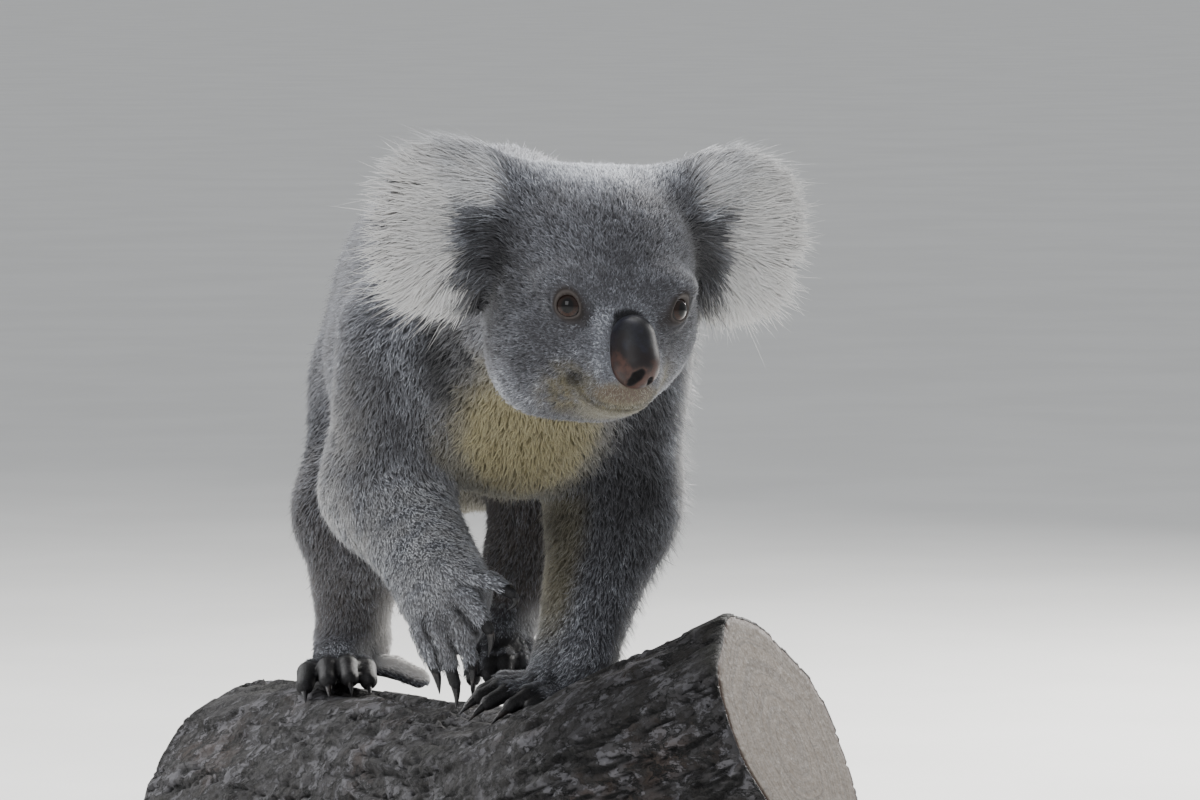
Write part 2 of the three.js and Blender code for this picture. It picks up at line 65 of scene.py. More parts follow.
rng = np.random.default_rng(20)

# ---------- Places, in millimetres, in the animal's own frame, which starts under its left hand


def vec(*numbers):
    return np.array(numbers, float)


def centre_of(node):
    low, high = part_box(node)
    return np.array((low + high) / 2)


ORIGIN = centre_of("stand_base") + vec(-5, -82, 247) * MM


def to_frame(points):
    return points * MM + ORIGIN


def to_animal(points):
    return (points - ORIGIN) / MM


def turn_matrix(axis, degrees):
    return np.array(Matrix.Rotation(math.radians(degrees), 3, axis))


HEAD_AT = vec(24, -150, 236)
HEAD_TURN = turn_matrix("Z", 11) @ turn_matrix("X", 4) @ turn_matrix("Y", 3)


def in_head(points):
    return (points - HEAD_AT) @ HEAD_TURN


def from_head(points):
    return points @ HEAD_TURN.T + HEAD_AT


def unit(vectors):
    return vectors / np.maximum(np.linalg.norm(vectors, axis=-1, keepdims=True), 1e-9)


def length(vectors):
    return np.sqrt(np.einsum("ij,ij->i", vectors, vectors))


def smoothstep(low, high, value):
    t = np.clip((value - low) / (high - low), 0, 1)
    return t * t * (3 - 2 * t)


# ---------- Fields: signed distance to a form at many points, negative inside


def round_cone(a, ra, b, rb):
    axis = b - a

    def field(p):
        t = np.clip((p - a) @ axis / (axis @ axis), 0, 1)
        return length(p - a - t[:, None] * axis) - (ra + (rb - ra) * t)

    return field


def ellipsoid(centre, radii):
    def field(p):
        q = (p - centre) / radii
        share = length(q)
        return share * (share - 1) / np.maximum(length(q / radii), 1e-9)

    return field


def cushion(centre, radii, power):
    def field(p):
        q = np.abs((p - centre) / radii)
        share = q[:, 0] ** power + q[:, 1] ** 2 + q[:, 2] ** power
        return (np.sqrt(share) - 1) * radii.min()

    return field


def union(radius, d, e):
    """Two distances joined with a fillet."""
    h = np.maximum(radius - np.abs(d - e), 0) / radius
    return np.minimum(d, e) - h * h * radius / 4


def cut(radius, d, hollow):
    """A distance with a hollow scooped out, with a soft rim."""
    return -union(radius, -d, hollow)


def blend(radius, fields):
    def field(p):
        d = fields[0](p)
        for other in fields[1:]:
            d = union(radius, d, other(p))
        return d

    return field


def chain(radius, joints):
    pairs = zip(joints, joints[1:])
    return blend(radius, [round_cone(a, ra, b, rb) for (a, ra), (b, rb) in pairs])


# ---------- The animal's forms, as in the CAD part

TRUNK_FORMS = [
    ellipsoid(vec(4, -2, 200), vec(72, 84, 88)),
    ellipsoid(vec(8, 122, 224), vec(86, 150, 90)),
    ellipsoid(vec(2, 112, 182), vec(94, 138, 74)),
    ellipsoid(vec(2, 222, 196), vec(79, 90, 98)),
    ellipsoid(vec(1, 226, 154), vec(79, 80, 66)),
    round_cone(vec(6, -20, 226), 68, vec(17, -95, 236), 62),
]
HEAD_FORMS = [
    ellipsoid(vec(0, 8, 22), vec(61, 62, 54)),
    ellipsoid(vec(0, -22, -8), vec(52, 41, 46)),
    ellipsoid(vec(0, -49, -34), vec(27, 31, 25.5)),
    ellipsoid(vec(0, -20, -39), vec(36, 22.5, 28)),
    ellipsoid(vec(-29.5, -15, -23.5), vec(33.5, 38, 41)),
    ellipsoid(vec(24, -6, -14), vec(36, 38, 37.5)),
    ellipsoid(vec(-27, -46, 14), vec(20, 16, 12)),
    ellipsoid(vec(27, -46, 14), vec(20, 16, 12)),
]
NOSE_FORMS = [
    ellipsoid(vec(1.6, -71, -12.2), vec(12, 11.5, 12.4)),
    ellipsoid(vec(2.2, -76.5, -26), vec(13.3, 13.5, 13.5)),
]
FACE_FORM = blend(14, HEAD_FORMS)
NOSE_FORM = blend(9, NOSE_FORMS)
LIMBS = {
    "arm_right": [(vec(-58, -14, 208), 44), (vec(-70, 12, 118), 35), (vec(-44, -56, 66), 26)],
    "arm_left": [(vec(66, 2, 205), 45), (vec(65, 14, 108), 37), (vec(39, -10, 24), 24)],
    "leg_right": [(vec(-38, 222, 160), 50), (vec(-68, 168, 92), 35), (vec(-63, 222, 14), 22)],
    "leg_left": [(vec(40, 222, 160), 50), (vec(50, 138, 108), 36), (vec(22, 158, 38), 21)],
}
PAWS = {
    "hand_right": {
        "pad": [(vec(-46, -60, 62), 23), (vec(-44, -74, 47), 19)],
        "radius": (6.6, 5.2),
        "curls": [vec(-0.85, -0.1, -0.5), vec(-0.3, 0.2, -1), vec(-0.2, 0.3, -1), vec(-0.1, 0.2, -1),
                  vec(0.1, 0.2, -1)],
        "digits": [
            (vec(-34, -76, 74), vec(-20, -86, 74), vec(-10, -88, 65)),
            (vec(-36, -83, 63), vec(-29, -90, 56), vec(-24, -91, 45)),
            (vec(-42, -82, 50), vec(-37, -89, 37), vec(-33, -86, 25)),
            (vec(-51, -79, 47), vec(-47, -85, 30), vec(-42, -81, 14)),
            (vec(-61, -73, 44), vec(-57, -79, 33), vec(-53, -77, 22)),
        ],
    },
    "hand_left": {
        "pad": [(vec(37, -12, 14), 21), (vec(20, -20, 5), 15)],
        "radius": (7.6, 6),
        "curls": [vec(-0.7, -0.2, -0.7)] * 5,
        "digits": [
            (vec(26, -30, 2), vec(16, -43, 2), vec(6, -50, -4)),
            (vec(18, -31, 3), vec(6, -42, 3), vec(-5, -46, -4)),
            (vec(8, -24, 3), vec(-5, -32, 5), vec(-17, -36, -3)),
            (vec(6, -14, 4), vec(-8, -19, 6), vec(-20, -22, -1)),
            (vec(9, -5, 5), vec(-4, -7, 8), vec(-16, -8, 1)),
        ],
    },
    "foot_right": {
        "pad": [(vec(-64, 223, 2), 21), (vec(-75, 194, -4), 17)],
        "radius": (8.4, 7.2),
        "curls": [vec(0, -0.75, -0.6)] * 5,
        "digits": [
            (vec(-56, 204, -5), vec(-40, 201, -6), vec(-26, 197, -14)),
            (vec(-63, 182, -5), vec(-62, 168, -1), vec(-62, 156, -10)),
            (vec(-73, 179, -3), vec(-74, 164, 2), vec(-74, 152, -8)),
            (vec(-83, 180, -4), vec(-86, 165, 1), vec(-87, 153, -9)),
            (vec(-91, 186, -7), vec(-98, 174, -3), vec(-100, 162, -13)),
        ],
    },
    "foot_left": {
        "pad": [(vec(22, 154, 29), 20), (vec(15, 129, 12), 16)],
        "radius": (7.6, 6),
        "curls": [vec(0, 0.1, -1)] * 5,
        "digits": [
            (vec(27, 133, 14), vec(34, 123, 10), vec(35, 114, 1)),
            (vec(23, 119, 10), vec(25, 107, 6), vec(24, 101, -4)),
            (vec(15, 117, 10), vec(15, 104, 8), vec(14, 98, -2)),
            (vec(7, 119, 10), vec(5, 107, 6), vec(4, 101, -3)),
            (vec(1, 124, 9), vec(-4, 114, 4), vec(-5, 108, -5)),
        ],
    },
}
# Where each digit's bare leather starts: its share from knuckle to tip.
LEATHER_FROM = {
    "hand_right": (0.76, 0.72, 0.94, 0.80, 0.80),
    "hand_left": (0.60, 0.52, 0.48, 0.48, 0.55),
    "foot_right": (1.30, 0.05, 0.05, 0.05, 0.08),
    "foot_left": (0.75, 0.75, 0.75, 0.75, 0.75),
}
NOSE_TIP = vec(0, -80, -16)

# A kind of fur: its depth over the skin, its tufts' length, half width and number for each square
# millimetre, the size of its locks, and how far their tips gather.
Fur = namedtuple("Fur", "depth length width density lock gather")
COATS = {
    "trunk": Fur(6.2, 7.2, 0.51, 0.405, 4.0, 0.08),
    "head": Fur(3.4, 4.6, 0.33, 1.12, 2.6, 0.08),
    "arm": Fur(5.4, 6.3, 0.43, 0.57, 3.6, 0.10),
    "forearm": Fur(4.4, 5.6, 0.38, 0.78, 3.2, 0.10),
    "hand": Fur(2.2, 4.0, 0.33, 1.15, 2.6, 0.10),
    "thigh": Fur(6.0, 7.2, 0.51, 0.405, 4.0, 0.08),
    "shank": Fur(4.2, 5.6, 0.40, 0.64, 3.4, 0.10),
    "foot": Fur(2.2, 4.6, 0.34, 1.05, 2.8, 0.14),
    "digit": Fur(1.6, 3.0, 0.30, 1.40, 2.2, 0.10),
}
EAR_LOCK, EAR_GATHER = 5.0, 0.24  # size of the ears' locks, and how far their tips gather

FAR = 60.0  # what a region's distance is taken to be well outside its box
NEARBY = 45.0  # how far outside its box a region's distance is still worked out


class Region:
    """One stretch of the body: its field, how its fur lies, and the box round its joints."""

    def __init__(self, name, kind, field, lie, joints):
        self.name, self.kind, self.field, self.lie = name, kind, field, lie
        self.low = np.min([at - radius for at, radius in joints], 0)
        self.high = np.max([at + radius for at, radius in joints], 0)

    def distance(self, p):
        near = ((p > self.low - NEARBY) & (p < self.high + NEARBY)).all(1)
        d = np.full(len(p), FAR)
        d[near] = self.field(p[near])
        return d


def steady(*direction):
    return lambda p: np.broadcast_to(vec(*direction), p.shape)


def digit_field(points, radius):
    thick, thin = radius
    middle = (thick + thin) / 2
    knuckle, bend, tip = points
    return chain(2.5, [(knuckle, thick), ((knuckle + 2 * bend + tip) / 4, middle), (tip, thin)])


def regions_of_limb(name, joints):
    side = name.split("_")[1]
    kinds = ("arm", "forearm") if name.startswith("arm") else ("thigh", "shank")
    for kind, first in zip(kinds, (0, 1)):
        (a, ra), (b, rb) = joints[first : first + 2]
        bone = joints[first : first + 2]
        yield Region(f"{kind}_{side}", kind, round_cone(a, ra, b, rb), steady(*(b - a)), bone)


PAD_FILLET = 14


def regions_of_paw(name, paw):
    kind = name.split("_")[0]
    (a, _), (b, _) = paw["pad"]
    yield Region(name, kind, chain(PAD_FILLET, paw["pad"]), steady(*(b - a)), paw["pad"])
    for i, points in enumerate(paw["digits"]):
        joints = [(point, paw["radius"][0]) for point in points]
        along = steady(*(points[2] - points[0]))
        yield Region(f"{name}_{i + 1}", "digit", digit_field(points, paw["radius"]), along, joints)


REGIONS = [
    Region("trunk", "trunk", blend(30, TRUNK_FORMS), steady(0, 0.75, -0.66),
           [(vec(5, -20, 215), 100), (vec(4, 220, 200), 100)]),
    Region("head", "head", lambda p: FACE_FORM(in_head(p)),
           lambda p: (in_head(p) - NOSE_TIP) @ HEAD_TURN.T, [(HEAD_AT, 92)]),
]
for limb_name, limb_joints in LIMBS.items():
    REGIONS.extend(regions_of_limb(limb_name, limb_joints))
for paw_name, paw_parts in PAWS.items():
    REGIONS.extend(regions_of_paw(paw_name, paw_parts))
REGION_INDEX = {region.name: i for i, region in enumerate(REGIONS)}


def distances(p):
    """Each region's distance at each point."""
    return np.stack([region.distance(p) for region in REGIONS])


def shares(d, softness=7.0):
    """How far each point belongs to each region, adding up to 1."""
    w = np.exp(-(d - d.min(0)) / softness)
    return w / w.sum(0)


NECK_FILLET, LIMB_FILLET, PAW_FILLET, DIGIT_FILLET = 24, 20, 14, 4


def joined(d):
    """The regions' distances as one smooth form."""
    pick = {name: d[i] for name, i in REGION_INDEX.items()}
    body = union(NECK_FILLET, pick["trunk"], pick["head"])
    for name in LIMBS:
        limb, side = name.split("_")
        upper, lower = ("arm", "forearm") if limb == "arm" else ("thigh", "shank")
        whole = union(LIMB_FILLET, pick[f"{upper}_{side}"], pick[f"{lower}_{side}"])
        body = union(LIMB_FILLET, body, whole)
    for name in PAWS:
        body = union(PAW_FILLET, body, pick[name])
        digits = np.minimum.reduce([pick[f"{name}_{i}"] for i in range(1, 6)])
        body = union(DIGIT_FILLET, body, digits)
    return body


# ---------- The head's finer forms: ears, lids and mouth

EYE_AT = {side: vec(s * 29.5, -52, 2.5) for side, s in SIDES.items()}
EYE_RADIUS = 9.5
GAZE = {side: unit(vec(s * 0.50, -0.86, 0.06)) for side, s in SIDES.items()}
LID_RADIUS = 10.4
OPENING = vec(6.3, 6.1)  # half width and half height between the lids
BEHIND_EYE = 8.0  # how far past the lids' edge all places behind the eye count as


def on_front(form, x, z, depth=0.0):
    """The foremost point of a form in the head's frame, at a place across and up."""
    y = np.linspace(-100, -30, 700)
    d = form(np.stack([np.full(len(y), x), y, np.full(len(y), z)], 1))
    return vec(x, y[np.argmax(d < -depth)], z)


MOUTH = [on_front(FACE_FORM, x, z, 1.7) for x, z in (
    (-25.5, -35), (-21.5, -42.5), (-18, -47.5), (-12, -50.5), (-5, -51.5),
    (5, -51.5), (12, -50.5), (18, -47.5), (21.5, -42.5), (25.5, -35))]


EAR_MIDDLE = vec(84, 11, 40)  # of the left ear's disc, in the head's frame
EAR_RADIUS = vec(35, 40, 40)  # of the ears' rims, across, front to back and up


def both_sides(h):
    """Places in the head's frame with its right half laid over its left."""
    return np.stack([np.abs(h[:, 0]), h[:, 1], h[:, 2]], 1)


def out_on_ear(h):
    """0 in the middle of either ear's disc and 1 at its rim."""
    return length((both_sides(h) - EAR_MIDDLE) / EAR_RADIUS)


def ear_skin(side):
    disc = cushion(EAR_MIDDLE * vec(side, 1, 1), vec(35, 6.5, 40), 2.15)
    root = ellipsoid(vec(side * 60, 10, 36), vec(22, 15, 31))
    shoulder = round_cone(vec(side * 30, 8, 50), 20.5, vec(side * 74, 12, 57), 13)
    hollow = ellipsoid(vec(side * 84, -5, 38), vec(23, 11.5, 29))
    return lambda h: cut(6, union(14, union(14, disc(h), root(h)), shoulder(h)), hollow(h))


EAR_SKINS = [ear_skin(side) for side in SIDES.values()]


def eye_frame(side):
    """The eye's own axes in the head's frame: across, up and out."""
    out = GAZE[side]
    across = unit(np.cross(vec(0, 0, 1), out))
    return np.stack([across, np.cross(out, across), out])


def lid_edge(side, h):
    """How far places are past the edge of the lids' opening, measured over the ball, their reach from the
    eye's middle, and where they are on the eye's own axes."""
    q = (h - EYE_AT[side]) @ eye_frame(side).T
    reach = length(q)
    on_ball = q[:, :2] / np.maximum(reach, 1e-6)[:, None] * EYE_RADIUS
    toward_nose = np.maximum(-SIDES[side] * on_ball[:, 0], 0)
    on_ball[:, 1] += 0.035 * toward_nose**2  # the inner corner dips
    edge = (length(on_ball / OPENING) - 1) * OPENING.min()
    return np.where(q[:, 2] > 0, edge, BEHIND_EYE), reach, q


def with_lids(h, d):
    """The lids swell over the ball and end at the opening, where the skin dips behind the ball's surface."""
    for side in SIDES:
        edge, reach, _ = lid_edge(side, h)
        d = union(5.5, d, reach - LID_RADIUS)
        d = cut(0.9, d, np.maximum(edge, EYE_RADIUS - 2.2 - reach))
    return d


MOUTH_FIELD = blend(0.5, [round_cone(a, 1.1, b, 1.1) for a, b in zip(MOUTH, MOUTH[1:])])


def skin_field(p):
    """The bare skin's distance, inside the coat by the coat's depth."""
    d = distances(p)
    depth = shares(d).T @ np.array([COATS[region.kind].depth for region in REGIONS])
    h = in_head(p)
    nearness = smoothstep(75, 25, length(h - NOSE_TIP))
    depth = depth * (1 - 0.55 * nearness)
    skin = joined(d) + depth
    near_head = length(h) < 170
    at = h[near_head]
    own = skin[near_head]
    for ear in EAR_SKINS:
        own = union(10, own, ear(at))
    own = with_lids(at, own)
    skin[near_head] = cut(1.3, own, MOUTH_FIELD(at))
    return skin


# ---------- Meshing a field


def in_batches(field, points, size=250000):
    return np.concatenate([field(points[i : i + size]) for i in range(0, len(points), size)])


def gradient(field, points, step=0.4):
    slopes = []
    for axis in np.eye(3) * step:
        slopes.append((field(points + axis) - field(points - axis)) / (2 * step))
    return np.stack(slopes, 1)


def settle(field, points, reach, passes=3):
    """Walks points down the field's slope onto its surface."""
    for _ in range(passes):
        slope = gradient(field, points)
        move = -field(points) / np.maximum(np.einsum("ij,ij->i", slope, slope), 0.1)
        points = points + np.clip(move, -reach, reach)[:, None] * slope
    return points


def grid_signs(field, low, cell, counts, coarse=4):
    """Which points of a grid are inside. Only blocks near the surface are worked out in full."""
    blocks = -(-np.array(counts) // coarse)
    corner = np.stack(np.meshgrid(*[np.arange(n) for n in blocks], indexing="ij"), -1).reshape(-1, 3)
    middle = low + (corner + 0.5) * coarse * cell - cell / 2
    d = in_batches(field, middle)
    inside = np.repeat(np.repeat(np.repeat((d < 0).reshape(blocks), coarse, 0), coarse, 1), coarse, 2)
    near = corner[np.abs(d) < coarse * cell * 1.5]
    steps = np.stack(np.meshgrid(*[np.arange(coarse)] * 3, indexing="ij"), -1).reshape(-1, 3)
    index = (near[:, None] * coarse + steps).reshape(-1, 3)
    values = in_batches(field, low + index * cell)
    inside[tuple(index.T)] = values < 0
    return inside


def surface_quads(field, low, high, cell):
    """The field's surface in a box as points and four-sided faces, one point for each crossed cell."""
    counts = np.ceil((high - low) / cell).astype(int) + 2
    inside = grid_signs(field, low, cell, counts)
    shape = inside.shape
    quads = []
    for axis in range(3):
        here = np.moveaxis(inside, axis, 0)
        changed = np.moveaxis(here[:-1] != here[1:], 0, axis)
        at = np.argwhere(changed)
        others = [a for a in range(3) if a != axis]
        at = at[(at[:, others] > 0).all(1)]
        ring = []
        for a, b in ((0, 0), (1, 0), (1, 1), (0, 1)):
            cell_at = at.copy()
            cell_at[:, others[0]] -= a
            cell_at[:, others[1]] -= b
            ring.append(np.ravel_multi_index(cell_at.T, shape))
        ring = np.stack(ring, 1)
        flip = inside[tuple(at.T)] == (axis == 1)
        ring[flip] = ring[flip][:, ::-1]
        quads.append(ring)
    used, faces = np.unique(np.concatenate(quads), return_inverse=True)
    cells = np.stack(np.unravel_index(used, shape), 1)
    points = low + (cells + 0.5) * cell
    return points, faces.reshape(-1, 4)


def edges_of(faces):
    pairs = np.concatenate([np.stack([faces[:, i], np.roll(faces, -1, 1)[:, i]], 1)
                            for i in range(faces.shape[1])])
    return np.unique(np.sort(pairs, 1), axis=0)


def relax(points, edges, amount):
    """Moves each point towards the middle of its neighbours."""
    total = np.zeros_like(points)
    for i in range(3):
        total[:, i] = (np.bincount(edges[:, 0], points[edges[:, 1], i], len(points))
                       + np.bincount(edges[:, 1], points[edges[:, 0], i], len(points)))
    count = np.bincount(edges.ravel(), minlength=len(points))
    return points + amount * (total / np.maximum(count, 1)[:, None] - points)


def surface_of(field, low, high, cell, rounds=3):
    points, faces = surface_quads(field, low, high, cell)
    edges = edges_of(faces)
    points = settle(field, points, cell)
    for _ in range(rounds):
        points = settle(field, relax(points, edges, 0.5), cell, passes=2)
    return points, faces


# ---------- Meshes, attributes and objects


def mesh_of(name, points, faces):
    """A smooth mesh from points in metres and an array of faces that all have the same number of corners."""
    mesh = bpy.data.meshes.new(name)
    sides = faces.shape[1]
    mesh.vertices.add(len(points))
    mesh.vertices.foreach_set("co", np.asarray(points, np.float32).ravel())
    mesh.loops.add(faces.size)
    mesh.loops.foreach_set("vertex_index", faces.astype(np.int32).ravel())
    mesh.polygons.add(len(faces))
    mesh.polygons.foreach_set("loop_start", np.arange(0, faces.size, sides, dtype=np.int32))
    mesh.update(calc_edges=True)
    mesh.shade_smooth()
    return mesh


def add_object(name, mesh, *materials):
    piece = bpy.data.objects.new(name, mesh)
    bpy.context.scene.collection.objects.link(piece)
    for material in materials:
        mesh.materials.append(material)
    return piece


def places_of(mesh):
    co = np.empty(len(mesh.vertices) * 3, np.float32)
    mesh.vertices.foreach_get("co", co)
    return co.reshape(-1, 3).astype(float)


def paint(mesh, name, *channels):
    """Stores up to four numbers for each vertex as one attribute."""
    full = np.zeros((len(mesh.vertices), 4), np.float32)
    for i, channel in enumerate(channels):
        full[:, i] = channel
    attribute = mesh.attributes.new(name, "FLOAT_COLOR", "POINT")
    attribute.data.foreach_set("color", full.ravel())


LAST_PHASE = 6.28  # the waves of the noise start anywhere in about one turn


def wave_noise(points, size, seed, layers=5):
    """Smooth noise from -1 to 1 with features of about the given size."""
    own = np.random.default_rng(seed)
    total = np.zeros(len(points))
    for _ in range(layers):
        way = unit(own.normal(size=3)) * (2 * math.pi / (size * own.uniform(1.2, 2.6)))
        other = unit(own.normal(size=3)) * (2 * math.pi / (size * own.uniform(1.5, 3.0)))
        bend = 1.4 * np.sin(points @ other + own.uniform(0, LAST_PHASE))
        total += np.sin(points @ way + bend + own.uniform(0, LAST_PHASE))
    return np.clip(total / (0.8 * layers**0.5 * 1.6), -1, 1)


# ---------- Skin

SKIN_CELL = 3.0
SKIN_BOX = (vec(-135, -262, -40), vec(170, 330, 335))
FLESH = ["trunk", "neck", "head", "ear_right", "ear_left"] + [
    f"{part}_{side}"
    for side in SIDES
    for part in ("upper_arm", "forearm", "hand", "thigh", "shank", "foot")
]


def refined(mesh, wanted, field, cell):
    """The mesh with the faces at wanted places split once, and the points there settled on the field."""
    bm = bmesh.new()
    bm.from_mesh(mesh)
    bpy.data.meshes.remove(mesh)
    middles = np.array([f.calc_center_median() for f in bm.faces])
    chosen = wanted(middles)
    edges = {e for f, c in zip(bm.faces, chosen) if c for e in f.edges}
    bmesh.ops.subdivide_edges(bm, edges=list(edges), cuts=1, use_grid_fill=True)
    mesh = bpy.data.meshes.new("refined")
    bm.to_mesh(mesh)
    bm.free()
    co = places_of(mesh)
    near = wanted(co, 3 * cell)
    co[near] = settle(field, co[near], cell, passes=3)
    mesh.vertices.foreach_set("co", co.astype(np.float32).ravel())
    mesh.update()
    return mesh


def near_face(p, margin=0.0):
    h = in_head(p)
    around_nose = length((h - vec(0, -62, -22)) / vec(1.25, 1, 1))
    return around_nose < 48 + margin


def near_features(p, margin=0.0):
    h = in_head(p)
    eyes = np.minimum.reduce([length(h - at) for at in EYE_AT.values()])
    return (eyes < 17 + margin) | (MOUTH_FIELD(h) < 4 + margin)


def make_skin_mesh():
    coarse = mesh_of("skin", *surface_of(skin_field, *SKIN_BOX, SKIN_CELL))
    finer = refined(coarse, near_face, skin_field, SKIN_CELL)
    return refined(finer, near_features, skin_field, SKIN_CELL / 2)


SKIN_MESH = make_skin_mesh()
SKIN_POINTS = to_frame(places_of(SKIN_MESH))
SKIN_MESH.vertices.foreach_set("co", SKIN_POINTS.astype(np.float32).ravel())
SKIN_MESH.update()


# ---------- Markings, shared by skin and coat

KINDS = sorted(COATS)
KIND_OF_REGION = np.array([KINDS.index(region.kind) for region in REGIONS])


class Surface:
    """Points on the skin with their normals, their place in the head's frame and what they belong to."""

    def __init__(self, points, normals):
        self.p, self.n = points, normals
        self.h = in_head(points)
        self.hn = normals @ HEAD_TURN
        self.d = distances(points)
        self.region = shares(self.d)
        self.kind = np.stack([self.region[KIND_OF_REGION == i].sum(0) for i in range(len(KINDS))])
        ears = np.stack([ear(self.h) for ear in EAR_SKINS])
        body = np.maximum(self.d[REGION_INDEX["head"]] + COATS["head"].depth, 0)
        beside = smoothstep(50, 58, np.abs(self.h[:, 0])) * smoothstep(14, 7, ears)
        self.ears = beside / (1 + np.exp(np.clip((ears - body) / 2.5, -30, 30)))
        self.ear = self.ears.max(0)

    def of(self, *names):
        """How far each point belongs to the named kinds."""
        return sum(self.kind[KINDS.index(name)] for name in names)

    def in_region(self, *names):
        """How far each point belongs to the named regions."""
        return sum(self.region[REGION_INDEX[name]] for name in names)


def blob(p, centre, radii, soft=0.35):
    """1 inside an ellipsoid, fading to 0 over the soft share of its size."""
    return smoothstep(1 + soft, 1 - soft, length((p - vec(*centre)) / vec(*radii)))


def arm_fringe(s):
    """The left arm's outer side, where long pale hairs stand out."""
    return s.in_region("arm_left", "forearm_left") * smoothstep(0.3, 0.9, s.n[:, 0])


def leather(s):
    """Bare dark skin of the digits' ends and the soles."""
    bare = np.zeros(len(s.p))
    ragged = 0.10 * wave_noise(s.p, 5, 61)
    for name, paw in PAWS.items():
        for i, (knuckle, _, tip) in enumerate(paw["digits"]):
            along = (s.p - knuckle) @ (tip - knuckle) / ((tip - knuckle) @ (tip - knuckle))
            start = LEATHER_FROM[name][i]
            own = s.region[REGION_INDEX[f"{name}_{i + 1}"]]
            bare += own * smoothstep(start - 0.1, start + 0.1, along + ragged)
    bare = smoothstep(0.15, 0.6, bare)
    under = smoothstep(0.45, 0.75, -s.n[:, 2] + ragged) * s.of("hand", "foot", "digit")
    sole = smoothstep(0.2, 0.6, -s.n[:, 1] + ragged) * smoothstep(26, 16, s.p[:, 2])
    sole = sole * smoothstep(30, 22, s.p[:, 0])
    sole = sole * s.in_region("foot_left", *[f"foot_left_{i}" for i in range(1, 6)])
    return np.clip(np.maximum.reduce([bare, under, sole]), 0, 1)


def cleft_shade(s):
    """Painted shade in the clefts between neighbouring fingers."""
    cleft = np.zeros(len(s.p))
    for name in ("hand_right", "hand_left"):
        near = np.sort(np.stack([s.d[REGION_INDEX[f"{name}_{i}"]] for i in range(1, 6)]), 0)
        cleft = np.maximum(cleft, np.exp(-(((near[1] - near[0]) / 3.0) ** 2)) * smoothstep(6, 2, near[0]))
    return cleft * s.of("hand", "digit")


# Painted shadow in the gaps between folds of fur on the neck, each a chain of points and radii.
NECK_SLIT_SHADES = (
    [(vec(-49.5, -66.4, 226), 3.6), (vec(-43.4, -72.4, 203), 4.8)],
    [(vec(-39.8, -96, 231), 4.0), (vec(-32.6, -93.9, 205), 5.0)],
)


